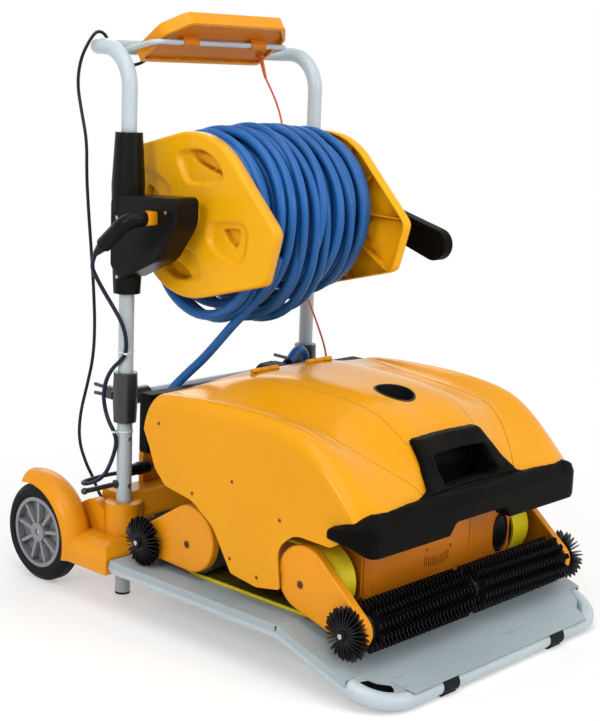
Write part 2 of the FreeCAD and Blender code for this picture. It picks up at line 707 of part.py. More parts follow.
def make_crank_arm():
    """A tapered arm with a groove on its inner face and a trough for the folded grip."""
    x = (crank_x, crank_x + crank_thick)
    run = Vector(crank_thick, 0, 0)
    hub, tip = (reel_y, reel_z), around_reel(crank_angle, crank_reach)
    arm = tangent_outline(hub, crank_hub_r, tip, crank_tip_r, x[0]).extrude(run)
    arm = arm.makeFillet(4, [e for e in arm.Edges if e.BoundBox.XLength < 0.01])
    groove = tangent_outline(around_reel(crank_angle, 52), crank_hub_r - 12,
                             around_reel(crank_angle, crank_reach - 46), crank_tip_r - 14, x[0] - 1)
    arm = arm.cut(groove.extrude(Vector(5, 0, 0)))
    half = grip_r + grip_room
    trough = box((x[1] - 2 * grip_r - 2, x[1] + 1),
                 (reel_y + grip_pivot - grip_length - grip_room, reel_y + grip_pivot + half),
                 (reel_z - half, reel_z + half))
    notch = rod(grip_r + 5, (x[1] - 12, reel_y + grip_pivot - grip_length, reel_z),
                (x[1] + 1, reel_y + grip_pivot - grip_length, reel_z))
    pin_x = x[1] - grip_r - 0.5
    pin = rod(grip_pin_r, (pin_x, reel_y + grip_pivot, reel_z - half - 4),
              (pin_x, reel_y + grip_pivot, reel_z + half + 4))
    bolt = rod(7, (x[0] - 3, reel_y + crank_reach + 8, reel_z), (x[0] + 2, reel_y + crank_reach + 8, reel_z))
    for piece in (trough, notch, pin, bolt):
        piece.rotate(Vector(0, reel_y, reel_z), Vector(1, 0, 0), crank_angle)
    arm = joined([arm.cut(trough).cut(notch), pin, bolt])
    return arm.cut(rod(reel_axle_r, (x[0] - 1, reel_y, reel_z), (x[1] + 1, reel_y, reel_z)))


def make_crank_grip():
    """The grip, folded into the arm; it swings out to stand square to the crank."""
    pin_x = crank_x + crank_thick - grip_r - 0.5
    start, end = along_crank(grip_pivot, pin_x), along_crank(grip_pivot - grip_length + grip_r, pin_x)
    grip = joined([rod(grip_r, start, end), Part.makeSphere(grip_r, Vector(*start)),
                   Part.makeSphere(grip_r, Vector(*end))])
    a = math.radians(crank_angle + 90)
    across = Vector(0, math.cos(a), math.sin(a)) * (2 * grip_r)
    hole = Vector(*start)
    return grip.cut(rod(grip_pin_r + running_gap, hole - across, hole + across))


# ======== Power supply ========
def supply_point(x, up, out):
    """A point in the supply's own frame: up along its underside, out towards its back."""
    a = math.radians(supply_tilt)
    run = (math.cos(a), math.sin(a))
    normal = (math.sin(a), -math.cos(a))
    return (x, supply_low[0] + run[0] * up + normal[0] * out,
            supply_low[1] + run[1] * up + normal[1] * out)


def supply_slab(inset, out, soft):
    """The supply's outline drawn in by an inset, extruded between two depths."""
    corners = [(-supply_low_x + inset, inset), (supply_low_x - inset, inset),
               (supply_low_x - inset, supply_shoulder), (supply_top_x - inset, supply_height - inset),
               (-supply_top_x + inset, supply_height - inset), (-supply_low_x + inset, supply_shoulder)]
    radii = [soft, soft, soft * 1.6, soft * 1.2, soft * 2.4, soft * 2.4]
    points = [supply_point(x, up, out[0]) for x, up in corners]
    wire = Part.Wire(rounded_edges(points, radii, closed=True))
    start = Vector(*supply_point(0, 0, out[0]))
    return Part.Face(wire).extrude(Vector(*supply_point(0, 0, out[1])) - start)


def make_supply_case():
    """The case, hollow and open on its underside, with a bore for the button on its top."""
    body = supply_slab(0, (0, supply_depth), 14)
    body = body.cut(supply_slab(supply_rim, (-1, 10), 10))
    body = body.cut(supply_slab(supply_rim + 6, (9, supply_depth - supply_wall), 8))
    bore = rod(button_r + running_gap, supply_point(button_x, supply_height / 2, 0),
               supply_point(button_x, supply_height / 2, supply_depth + 2))
    return body.cut(bore).Solids[0]


def make_supply_base():
    """The plate in the underside, with two saddles that hang the supply on the cradle's bar."""
    plate = supply_slab(supply_rim + 0.4, (6, 9.8), 10)
    parts = [plate]
    a = math.radians(supply_tilt)
    up = (loop_y - supply_low[0]) * math.cos(a) + (loop_z - supply_low[1]) * math.sin(a)
    out = (loop_y - supply_low[0]) * math.sin(a) - (loop_z - supply_low[1]) * math.cos(a)
    for x in (-saddle_x, saddle_x):
        low = Vector(*supply_point(x - saddle_width / 2, up, out))
        high = Vector(*supply_point(x + saddle_width / 2, up, out))
        ring = rod(loop_r + 3, low, high)
        profile = ((-1, out), (1, out), (1, 8), (-1, 8), (-1, out))
        neck = [Vector(*supply_point(x - saddle_width / 2, up + side * (loop_r + 3), rise))
                for side, rise in profile]
        parts = parts + [ring, Part.Face(Part.makePolygon(neck)).extrude(high - low)]
    bar = rod(loop_r + seat_gap, (-loop_x, loop_y, loop_z), (loop_x, loop_y, loop_z))
    gland_hole = rod(6.2, supply_point(*gland_place, 0), supply_point(*gland_place, 20))
    return joined(parts).cut(bar).cut(gland_hole)


def make_supply_cradle():
    """A wire loop welded to the push bar; the supply hangs on its front run."""
    root_z = post_top_z - loop_root_drop
    points = [(-loop_x, bar_y, root_z), (-loop_x, loop_y, loop_z), (loop_x, loop_y, loop_z),
              (loop_x, bar_y, root_z)]
    wire = swept(rounded_edges(points, [0, loop_bend_r, loop_bend_r, 0]), loop_r)
    push_bar = rod(tube_r, (-post_x, bar_y, post_top_z), (post_x, bar_y, post_top_z))
    return wire.cut(push_bar).Solids[0]


def make_supply_gland():
    nut = rod(9, supply_point(*gland_place, 5.8), supply_point(*gland_place, -3))
    sleeve = rod(6, supply_point(*gland_place, 12), supply_point(*gland_place, -10))
    boot_top = Vector(*supply_point(*gland_place, -7))
    boot_end = Vector(*boot_bottom)
    boot = Part.makeCone(5.4, control_d / 2 + 1, (boot_end - boot_top).Length, boot_top,
                         boot_end - boot_top)
    return joined([nut, sleeve, boot])


# ======== Robot body ========
# Four lines run from the body's back edge over the top to its front edge.
# Each entry is (y, z) on the middle line, (x, y, z) in the valley, (x, y, z) on the side
# crest and (y, z) where the crest has rounded over to the upright side.
body_lines = [
    ((-131, 410), (298, -131, 410), (333, -131, 408), (-133, 396)),
    ((-141, 480), (303, -141, 476), (336, -141, 472), (-145, 444)),
    ((-166, 522), (316, -166, 510), (341, -166, 508), (-170, 476)),
    ((-215, 539), (318, -215, 514), (343, -215, 519), (-215, 487)),
    ((-350, 548), (296, -335, 509), (341, -335, 525), (-335, 492)),
    ((-470, 546), (276, -462, 504), (337, -462, 524), (-462, 490)),
    ((-545, 537), (268, -548, 496), (334, -548, 516), (-548, 482)),
    ((-602, 519), (260, -612, 483), (331, -614, 500), (-616, 465)),
    ((-648, 492), (236, -664, 456), (327, -670, 468), (-668, 436)),
    ((-690, 455), (200, -712, 425), (322, -722, 425), (-714, 400)),
    ((-732, 408), (166, -750, 394), (316, -764, 386), (-748, 370)),
    ((-768, 352), (144, -782, 352), (310, -790, 350), (-766, 350)),
]


def between(start, end, share, drop):
    """A point a share of the way across and a drop of the way down from start to end."""
    return Vector(start[0] + (end[0] - start[0]) * share, start[1] + (end[1] - start[1]) * share,
                  start[2] + (end[2] - start[2]) * drop)


def skin(inset):
    """The body's outer form drawn in by an inset, open-ended downwards."""
    rows = []
    for middle, valley, crest, side in body_lines:
        middle = (0, middle[0], middle[1])
        side = (body_x, side[0], side[1])
        half = []
        for share in (0, 0.4, 0.6, 0.8):
            drop = 0.5 - 0.5 * math.cos(math.pi * max(0.0, share - 0.3) / 0.7)
            half.append(between(middle, valley, share, drop))
        for share in (0, 0.5):
            half.append(between(valley, crest, share, share))
        for angle in (0, 25, 50, 72):
            a = math.radians(angle)
            half.append(between(crest, side, math.sin(a), 1 - math.cos(a)))
        half.append(between(crest, side, 1.18, 1.6))
        rows.append([Vector(-p.x, p.y, p.z) for p in half[:0:-1]] + half)
    surface = Part.BSplineSurface()
    surface.interpolate(rows)
    solid = surface.toShape().extrude(Vector(0, 0, -460))
    middle_y = body_back_y - body_length / 2
    shrink = FreeCAD.Matrix()
    shrink.move(Vector(0, -middle_y, 0))
    shrink.scale((body_x - inset) / body_x, (body_length - 2 * inset) / body_length, 1)
    shrink.move(Vector(0, middle_y, -inset))
    solid = solid.transformGeometry(shrink)
    limit = box((-body_x + inset, body_x - inset), (-900, body_back_y - inset), (body_cut_z, 700))
    return solid.common(limit).Solids[0]


def body_shell():
    """The body's skin, a shell of even wall, open below."""
    return skin(0).cut(skin(body_wall))


# Lower edge of each side cover, with an arch over each arm, as (y, z, corner radius).
cover_edge = [(-100, 560, 0), (-100, 436, 0), (-139, 436, 10), (-160, 396, 30), (-180, 350, 40),
              (-214, 318, 30), (-300, 304, 60), (-366, 262, 60), (-424, 174, 14), (-500, 164, 30),
              (-566, 176, 6), (-556, 262, 46), (-600, 302, 60), (-700, 299, 30), (-772, 345, 10),
              (-830, 345, 0), (-830, 560, 0)]
screw_spots = [(-190, 452), (-420, 372), (-560, 322), (-300, 300 + 20), (-500, 185), (-420, 205)]


def valley_fence(shift):
    """The seam between a side cover and the top cover, seen from above, for +X."""
    points = [(valley[0] + shift, valley[1]) for middle, valley, crest, side in body_lines]
    points = [(points[0][0], -60)] + points + [(points[-1][0], -900)]
    return points


def side_region(shift):
    points = [Vector(x, y, 0) for x, y in valley_fence(shift)]
    points = points + [Vector(500, -900, 0), Vector(500, -60, 0), points[0]]
    return Part.Face(Part.makePolygon(points)).extrude(Vector(0, 0, 700))


def make_side_cover(shell):
    region = side_region(seam / 2).common(side_prism(cover_edge, (0, 500)))
    cover = shell.common(region)
    for y, z in screw_spots:
        cover = cover.cut(rod(6, (body_x - 2.4, y, z), (body_x + 5, y, z)))
    return max(cover.Solids, key=lambda s: s.Volume)


def lid_region(grow, z=(300, 700)):
    points = [(lid_rear_x + grow, lid_rear_y + grow, 24), (lid_front_x + grow, lid_front_y - grow, 14),
              (-lid_front_x - grow, lid_front_y - grow, 14), (-lid_rear_x - grow, lid_rear_y + grow, 24)]
    return plan_prism(points, z)


def hinge_knuckle(x, radius):
    return rod(radius, (x[0], hinge_y, hinge_z), (x[1], hinge_y, hinge_z))


def make_lid(shell):
    lid = shell.common(lid_region(-seam / 2))
    lid = lid.cut(rod(outlet_r + 4 + seat_gap, (0, outlet_y, 400), (0, outlet_y, 700)))
    lid = max(lid.Solids, key=lambda s: s.Volume)
    for side in (-1, 1):
        middle = side * 90
        lid = lid.cut(hinge_knuckle((middle - 42, middle - 15), knuckle_r + 1))
        lid = lid.cut(hinge_knuckle((middle + 15, middle + 42), knuckle_r + 1))
        barrel = hinge_knuckle((middle - 14, middle + 14), knuckle_r)
        lid = lid.fuse(barrel).cut(hinge_knuckle((middle - 60, middle + 60), hinge_pin_r + running_gap))
    return max(lid.Solids, key=lambda s: s.Volume)


def make_top_cover(shell):
    region = box((-400, 400), (-900, -60), (345, 700))
    region = region.cut(side_region(-seam / 2)).cut(mirrored(side_region(-seam / 2)))
    cover = shell.common(region).cut(lid_region(seam / 2))
    cover = cover.cut(front_prism([(-104, 330, 0), (104, 330, 0), (104, 380, 0), (88, 448, 12),
                                   (-88, 448, 12), (-104, 380, 0)], (-900, -640)))
    cover = max(cover.Solids, key=lambda s: s.Volume)
    pins = []
    for side in (-1, 1):
        middle = side * 90
        cover = cover.cut(hinge_knuckle((middle - 15, middle + 15), knuckle_r + 1))
        for x in ((middle - 41, middle - 15.5), (middle + 15.5, middle + 41)):
            cover = cover.fuse(hinge_knuckle(x, knuckle_r))
        pins.append(hinge_knuckle((middle - 41, middle + 41), hinge_pin_r))
    return joined([cover] + pins)


def make_outlet_ring():
    ring = pipe(outlet_r + 4, outlet_r, (0, outlet_y, 478), (0, outlet_y, 700))
    return ring.common(skin(-1)).Solids[0]


def bumper_plan(grow):
    x = bumper_x - grow
    return [(-x, bumper_end_y, 14), (-x, bumper_y + grow, bumper_corner_r - grow),
            (x, bumper_y + grow, bumper_corner_r - grow), (x, bumper_end_y, 14)]


def make_front_bumper():
    low, high = bumper_z
    band = plan_prism(bumper_plan(0), (low, high))
    band = band.cut(plan_prism([(-bumper_x + 40, bumper_y + 140, 0), (-bumper_x + 40, bumper_y + 84, 20),
                                (-300, bumper_y + bumper_depth, 60), (300, bumper_y + bumper_depth, 60),
                                (bumper_x - 40, bumper_y + 84, 20), (bumper_x - 40, bumper_y + 140, 0)],
                               (low - 1, high + 1)))
    view = front_prism([(-bumper_x, low + 26, 24), (-bumper_x + 44, low, 36), (-104, low, 6),
                        (-84, low + 24, 10), (84, low + 24, 10), (104, low, 6), (bumper_x - 44, low, 36),
                        (bumper_x, low + 26, 24), (bumper_x, bumper_end_top, 16), (bumper_x - 70, high, 40),
                        (-bumper_x + 70, high, 40), (-bumper_x, bumper_end_top, 16)],
                       (bumper_y - 20, bumper_end_y + 5))
    band = band.common(view).cut(skin(-0.4).common(box((-400, 400), (-900, -600), (296, 400))))
    mask = front_prism([(-186, high - 26, 0), (-176, high, 0), (-146, high + 16, 26), (-122, 420, 20),
                        (-102, 464, 18), (102, 464, 18), (122, 420, 20), (146, high + 16, 26), (176, high, 0),
                        (186, high - 26, 0)], (bumper_y - 60, -640))
    hood = skin(-13).cut(skin(-0.4)).common(mask)
    opening = front_prism([(-78, 366, 10), (78, 366, 10), (72, 438, 12), (-72, 438, 12)],
                          (bumper_y - 60, -600))
    inner = front_prism([(-102, 331, 0), (102, 331, 0), (102, 380, 0), (86, 446, 12),
                         (-86, 446, 12), (-102, 380, 0)], (bumper_y - 60, -640))
    pocket = inner.common(skin(-0.4)).common(box((-200, 200), (-900, -676), (331, 470)))
    hollow = front_prism([(-88, 358, 10), (88, 358, 10), (76, 438, 10), (-76, 438, 10)],
                         (bumper_y - 60, -690))
    hollow = hollow.common(skin(8))
    frame = joined([hood, pocket]).cut(opening.common(box((-200, 200), (-900, -740), (0, 600))).fuse(hollow))
    frame = frame.cut(opening.common(skin(-40)).cut(box((-300, 300), (-690, 0), (0, 700))))
    return max(joined([band, frame]).Solids, key=lambda s: s.Volume)


def make_rear_bumper():
    shell = box((-352, 352), (-150, -101), (372, 506))
    shell = shell.makeFillet(18, [e for e in shell.Edges if abs(e.BoundBox.YMin + 101) < 0.01
                                  and abs(e.BoundBox.YMax + 101) < 0.01])
    shell = shell.cut(skin(-0.4))
    grip = front_prism([(-90, 400, 16), (90, 400, 16), (90, 470, 16), (-90, 470, 16)], (-130, -60))
    return max(shell.cut(grip).Solids, key=lambda s: s.Volume)


def make_body_tub():
    y, z = tub_y, tub_z
    outer = side_prism([(y[0], z[0] + 30, 10), (y[0], z[1] + 10, 0), (y[1], z[1] + 10, 0),
                        (y[1], z[0] + 30, 10), (y[1] - 40, z[0], 20), (y[0] + 34, z[0], 16)],
                       (-tub_x, tub_x))
    inner = side_prism([(y[0] + 5, z[0] + 33, 8), (y[0] + 5, z[1] + 30, 0), (y[1] - 5, z[1] + 30, 0),
                        (y[1] - 5, z[0] + 33, 8), (y[1] - 43, z[0] + 5, 18), (y[0] + 37, z[0] + 5, 14)],
                       (-tub_x + 5, tub_x - 5))
    tub = outer.cut(inner)
    slots = []
    for i in range(-7, 8):
        slots.append(box((i * 11 - 2, i * 11 + 2), (y[0] - 1, y[0] + 6), (z[0] + 74, z[0] + 96)))
    nose = box((-96, 96), (y[0] - 14, y[0]), (z[0] + 52, z[1] - 20))
    tub = tub.cut(Part.makeCompound(slots))
    rim = box((-330, 330), (y[0] + 30, y[1] - 10), (z[1] + 10, z[1] + 16))
    rim = rim.cut(box((-tub_x + 8, tub_x - 8), (y[0] + 40, y[1] - 20), (z[1], z[1] + 20)))
    frame = nose.cut(box((-88, 88), (y[0] - 15, y[0] + 1), (z[0] + 60, z[1] - 28)))
    return joined([tub, rim, frame])


def make_filter_basket():
    x, y, z = (-130, 130), (-464, -254), (tub_z[0] + 5, 430)
    basket = box(x, y, z).cut(box((x[0] + 4, x[1] - 4), (y[0] + 4, y[1] - 4), (z[0] + 4, z[1] + 1)))
    windows = []
    for i in range(4):
        left = x[0] + 14 + i * 60
        windows.append(box((left, left + 52), (y[0] - 1, y[1] + 1), (z[0] + 20, z[1] - 20)))
    return basket.cut(Part.makeCompound(windows))


def make_pump_motor():
    body = rod(48, (0, outlet_y, tub_z[0] + 5), (0, outlet_y, 400))
    shaft = rod(5, (0, outlet_y, 400), (0, outlet_y, 462))
    return joined([body, shaft])


def make_impeller():
    hub = rod(13, (0, outlet_y, 430), (0, outlet_y, 460))
    parts = [hub, pipe(38, 35, (0, outlet_y, 434), (0, outlet_y, 446))]
    blade = box((8, 36), (outlet_y - 1.5, outlet_y + 1.5), (434, 452))
    for i in range(5):
        turn = blade.copy()
        turn.rotate(Vector(0, outlet_y, 0), Vector(0, 0, 1), i * 72)
        parts.append(turn)
    shaft_bore = rod(5 + running_gap, (0, outlet_y, 420), (0, outlet_y, 470))
    return joined(parts).cut(shaft_bore)


def make_cable_swivel():
    """The hooded lump behind the top of the body where the floating cable plugs in."""
    y = (-150, -97)
    hood = front_prism([(swivel_x - 62, 478, 6), (swivel_x + 50, 478, 6), (swivel_x + 50, 512, 14),
                        (swivel_x + 26, 524, 20), (swivel_x - 20, 522, 30)], y)
    root = Vector(swivel_x + 44, -113, 497)
    run = Vector(*swivel_exit) - root
    boot = Part.makeCone(15, cable_r + 2.5, run.Length, root, run)
    return joined([hood, boot]).cut(skin(-0.4)).cut(make_rear_bumper()).Solids[0]


# ======== Drive ========
def make_hub_axles():
    axles = []
    for y in (rear_hub_y, front_hub_y):
        shaft = rod(hub_axle_r, (-tub_x, y, hub_z), (-arm_x[1] + 8, y, hub_z))
        collar = rod(hub_axle_r + 8, (-tub_x, y, hub_z), (-track_x[0] + 1.5, y, hub_z))
        axles.append(shaft.fuse(collar))
    return Part.makeCompound(axles + [mirrored(a) for a in axles])


def loop_outline(radius, x):
    """A belt's outline round its two wheels."""
    arcs = []
    top, bottom = hub_z + radius, hub_z - radius
    arcs.append(Part.LineSegment(Vector(x, rear_hub_y, top), Vector(x, front_hub_y, top)).toShape())
    arcs.append(Part.Arc(Vector(x, front_hub_y, top), Vector(x, front_hub_y - radius, hub_z),
                         Vector(x, front_hub_y, bottom)).toShape())
    arcs.append(Part.LineSegment(Vector(x, front_hub_y, bottom), Vector(x, rear_hub_y, bottom)).toShape())
    arcs.append(Part.Arc(Vector(x, rear_hub_y, bottom), Vector(x, rear_hub_y + radius, hub_z),
                         Vector(x, rear_hub_y, top)).toShape())
    return Part.Face(Part.Wire(arcs))


def make_tracks():
    run = Vector(track_x[1] - track_x[0], 0, 0)
    outer = loop_outline(belt_r, -track_x[1]).extrude(run)
    inner = loop_outline(belt_r - belt_wall, -track_x[1]).extrude(run)
    return both(outer.cut(inner))


def make_track_wheel(y):
    middle = -(track_x[0] + track_x[1]) / 2
    x = (middle - track_wheel_width / 2, middle + track_wheel_width / 2)
    tread = belt_r - belt_wall - 0.3
    profile = [(x[0], tread), (x[1], tread), (x[1], tread - 8), (middle + 4, tread - 12),
               (middle + 4, 22), (x[1], 18), (x[1], hub_axle_r + running_gap),
               (x[0], hub_axle_r + running_gap), (x[0], 18), (middle - 4, 22),
               (middle - 4, tread - 12), (x[0], tread - 8)]
    return turned(profile, y, hub_z)


def tangent_outline(centre_a, radius_a, centre_b, radius_b, x):
    """The outline round two circles joined by their outer tangents."""
    ay, az = centre_a
    by, bz = centre_b
    distance = math.hypot(by - ay, bz - az)
    heading = math.atan2(bz - az, by - ay)
    open_angle = math.acos((radius_a - radius_b) / distance)
    spots = {}
    for name, (cy, cz), radius in (("a", centre_a, radius_a), ("b", centre_b, radius_b)):
        for side in (1, -1):
            a = heading + side * open_angle
            spots[name, side] = Vector(x, cy + radius * math.cos(a), cz + radius * math.sin(a))
        far = heading + (math.pi if name == "a" else 0)
        spots[name, 0] = Vector(x, cy + radius * math.cos(far), cz + radius * math.sin(far))
    edges = [Part.Arc(spots["a", 1], spots["a", 0], spots["a", -1]).toShape(),
             Part.LineSegment(spots["a", -1], spots["b", -1]).toShape(),
             Part.Arc(spots["b", -1], spots["b", 0], spots["b", 1]).toShape(),
             Part.LineSegment(spots["b", 1], spots["a", 1]).toShape()]
    return Part.Face(Part.Wire(edges))


def make_arms(hub_y, brush, big_centre, big_r, tip_r):
    inner_x, outer_x = arm_x
    run = Vector(inner_x - outer_x, 0, 0)
    plate = tangent_outline(big_centre, big_r, brush, tip_r, outer_x).extrude(run)
    plate = plate.makeFillet(5, [e for e in plate.Edges if abs(e.BoundBox.XMin - outer_x) < 0.01
                                 and abs(e.BoundBox.XMax - outer_x) < 0.01])
    inside = tangent_outline(big_centre, big_r - 5, brush, tip_r - 5, outer_x - 6)
    hollow = inside.extrude(Vector(inner_x - outer_x + 5, 0, 0))
    hub = rod(hub_axle_r + 10, (inner_x, hub_y, hub_z), (outer_x - 5, hub_y, hub_z))
    tip = rod(brush_sleeve_r + 8, (inner_x, brush[0], brush[1]), (outer_x - 5, brush[0], brush[1]))
    arm = joined([plate.cut(hollow), hub, tip])
    arm = arm.cut(rod(hub_axle_r + running_gap, (inner_x - 1, hub_y, hub_z), (outer_x + 1, hub_y, hub_z)))
    arm = arm.cut(rod(brush_sleeve_r + running_gap, (inner_x - 1, brush[0], brush[1]),
                      (outer_x + 1, brush[0], brush[1])))
    shaft_end = rosette_x[1] + 3
    shaft = rod(brush_shaft_r, (-shaft_end, brush[0], brush[1]), (shaft_end, brush[0], brush[1]))
    caps = []
    for side in (-1, 1):
        x = (rosette_x[1] + 0.4) * side
        caps.append(rod(10, (x, brush[0], brush[1]), (x + side * 5, brush[0], brush[1])))
    return Part.makeCompound([arm, mirrored(arm), joined([shaft] + caps)])


def star(centre, x, inner_r, outer_r, count, share):
    """A toothed bar along X: count blades between two radii, each a share of its pitch wide."""
    points = []
    for i in range(count):
        for radius, step in ((inner_r, -share), (outer_r, -share * 0.3),
                             (outer_r, share * 0.3), (inner_r, share)):
            a = 2 * math.pi * (i + step) / count
            points.append(Vector(x[0], centre[0] + radius * math.cos(a), centre[1] + radius * math.sin(a)))
    face = Part.Face(Part.makePolygon(points + [points[0]]))
    return face.extrude(Vector(x[1] - x[0], 0, 0))


def make_brush(centre):
    """The right half of a roller with its side rosette; the left half is its mirror image."""
    roller = star(centre, (3, 331), brush_core_r, brush_r, fin_count, 0.22)
    sleeve = rod(brush_sleeve_r, (3, centre[0], centre[1]), (rosette_x[1], centre[0], centre[1]))
    rosette = star(centre, rosette_x, rosette_r - 26, rosette_r, spike_count, 0.4)
    brush = joined([roller, sleeve, rosette])
    return brush.cut(rod(brush_shaft_r + running_gap, (-10, centre[0], centre[1]),
                         (500, centre[0], centre[1])))


# ======== Fasteners ========
def make_screws(brackets):
    """Dome heads on the posts, the brackets and the robot's side covers."""
    heads = []
    for z in (262, 372):
        head = rod(4.5, (-post_x, -tube_r - 2, z), (-post_x, -tube_r + 1, z))
        heads.append(head.cut(rod(tube_r, (-post_x, 0, z - 9), (-post_x, 0, z + 9))))
    for y, z in ((-166, 905), (-6, 880), (-8, 748)):
        head = rod(4, (-bracket_outer_x - 2.5, y, z), (-bracket_outer_x + 6, y, z))
        heads.append(max(head.cut(brackets).Solids, key=lambda s: -s.CenterOfMass.x))
    both_sides = heads + [mirrored(h) for h in heads]
    for y, z in screw_spots:
        screw = rod(5, (body_x - 2.4, y, z), (body_x - 0.6, y, z))
        both_sides = both_sides + [screw, mirrored(screw)]
    return Part.makeCompound(both_sides)


def make_cable_ties():
    """Two ties, each a band round the left post and the lead beside it."""
    ties = []
    for x, y, z in (lower_tie, upper_tie):
        band = rod(tube_r + 1.5, (-post_x, 0, z - 2), (-post_x, 0, z + 2))
        band = band.fuse(rod(lead_d / 2 + 1.5, (x, y, z - 2), (x, y, z + 2)))
        band = band.cut(rod(tube_r, (-post_x, 0, z - 3), (-post_x, 0, z + 3)))
        ties.append(band.cut(rod(lead_d / 2 + 0.2, (x, y, z - 3), (x, y, z + 3))))
    return Part.makeCompound(ties)


def make_power_button():
    """A push button through the top of the supply, with a collar inside that keeps it in."""
    place = (button_x, supply_height / 2)
    wall = supply_depth - supply_wall
    top = supply_depth + button_travel + 1
    cap = rod(button_r, supply_point(*place, wall - 5), supply_point(*place, top))
    collar = rod(button_r + 3, supply_point(*place, wall - 3), supply_point(*place, wall - 0.3))
    return joined([cap, collar])


# ======== Cords ========
# Routes are lists of points; each corner is rounded. All are given for the drawn position.
plug_bend = [(-bracket_outer_x - socket_out, reel_y, reel_z), (-403, reel_y, reel_z), (-403, -44, 828)]
plug_exit = (-403, -17, 806)
lead_route = [plug_exit, (-401, 3, 780), (-386, 2, 750), (-362, 4, 716), (-341, -2, 682),
              (-328, -20, 645), (-321, -27, 608), upper_tie, (-322, -9, 556), (-326, 8, 541),
              (-328, 25, 520), (-328, 38, 494), (-327, 44, 464), (-327, 37, 436), (-328, 23, 411), lower_tie,
              (-322, 1, 366), (-322, 9, 338), (-331, 12, 312), (-350, 9, 290), (-375, 10, 279),
              (-392, 30, 272), (-380, 52, 270), (-352, 55, 271), (-318, 48, 276), (-288, 38, 278),
              (-268, 35, 279)]
connector_line = [lead_route[-1], (-250, 35, 279), (-198, 34, 280), (-180, 34, 281)]
control_route = [boot_bottom, (195, 53, 1166), (212, 51, 1138), (230, 49, 1100), (242, 47, 1050),
                 (249, 47, 990), (250, 46, 925), (252, 46, 860), (254, 40, 795), (258, 18, 735),
                 (264, -16, 682), (270, -40, 632), (279, -58, 585), (291, -70, 540), (299, -76, 498),
                 (299, -73, 460), (290, -62, 422), (268, -42, 388), (240, -18, 360), (205, 6, 334),
                 (160, 25, 310), (110, 34, 290), (50, 38, 274), (-15, 38, 264), (-75, 36, 262),
                 (-130, 34, 272), connector_line[-1]]
main_route = [(-140, -316, 812), (-142, -302, 770), (-142, -272, 727), (-142, -234, 690), (-147, -193, 652),
              (-158, -158, 608), (-172, -122, 562), (-196, -90, 522), (-222, -66, 484), (-236, -55, 442),
              (-228, -53, 402), (-196, -54, 374), (-150, -56, 360), (-95, -56, 356), (-25, -57, 360),
              (45, -57, 363),
              (115, -57, 372), (175, -60, 395), (212, -67, 436), (222, -76, 488), (208, -84, 524),
              (180, -93, 544), (150, -101, 536), swivel_exit]
mains_route = [(-150, 105, 1231), (-160, 122, 1214), (-195, 130, 1208), (-238, 122, 1222), (-266, 112, 1252),
               (-281, 106, 1276), (-307, 104, 1284), (-325, 110, 1260), (-331, 132, 1220), (-332, 142, 1165),
               (-332, 124, 1100), (-331, 107, 1040), (-331, 107, 965), (-331, 99, 885), (-331, 88, 800),
               (-330, 79, 710), (-330, 73, 625), (-330, 78, 550), (-330, 100, 480), (-330, 124, 410),
               (-330, 128, 345), (-325, 106, 292), (-309, 98, 256), (-284, 110, 214), (-240, 135, 175),
               (-185, 165, 150), (-125, 190, 138), (-82, 210, 126), (-56, 226, 92), (-42, 232, 58),
               (-33, 237, 29), (-27, 246, 11), (-26, 262, 5)]
coil_centre = (15.0, 275.0)
coil_r = 41.0
coil_half = 9.5
coil_height = 16.0


def make_elbow_plug():
    """The bent plug in the reel's socket, with its nose and its strain relief."""
    elbow = swept(rounded_edges(plug_bend, [0, 32, 0]), plug_r)
    nose = rod(9, (-bracket_outer_x - socket_out + 10, reel_y, reel_z), plug_bend[0])
    relief_run = Vector(*plug_exit) - Vector(*plug_bend[-1])
    relief = Part.makeCone(plug_r - 3, lead_d / 2 + 2, relief_run.Length, Vector(*plug_bend[-1]), relief_run)
    return joined([elbow, nose, relief])


def make_inline_connector():
    a, b, c, d = [Vector(*p) for p in connector_line]
    parts = [rod(connector_r, b, c), rod(connector_r + 1.5, b + (c - b) * 0.42, b + (c - b) * 0.58),
             Part.makeCone(lead_d / 2 + 1.5, connector_r - 3, (b - a).Length, a, b - a),
             Part.makeCone(connector_r - 3, control_d / 2 + 1.5, (d - c).Length, c, d - c)]
    return joined(parts)


def make_mains_coil():
    x, y = coil_centre
    low, high = coil_r - coil_half, coil_r + coil_half
    points = [(x + low, y, 0.3), (x + high, y, 0.3), (x + high, y, coil_height), (x + low, y, coil_height)]
    face = Part.Face(Part.Wire(rounded_edges(points, [6, 6, 6, 6], closed=True)))
    return face.revolve(Vector(x, y, 0), Vector(0, 0, 1), 360)


def make_mains_plug():
    """The plug on the lead's end, lying beside the coil, with its relief against the coil."""
    x, y = coil_centre
    start = (x + 32, y + coil_r, plug_r + 2)
    root = Vector(start[0], start[1], start[2] - 6)
    relief = Part.makeCone(mains_d / 2 + 1.5, 9, 30, root, Vector(1, 0, 0.1))
    body = rod(plug_r + 1.5, (start[0] + 28, start[1], plug_r + 2), (start[0] + 62, start[1], plug_r + 2))
    pins = [rod(2.4, (start[0] + 60, start[1] + side * 9.5, plug_r + 2),
                (start[0] + 81, start[1] + side * 9.5, plug_r + 2)) for side in (-1, 1)]
    return joined([relief, body] + pins)


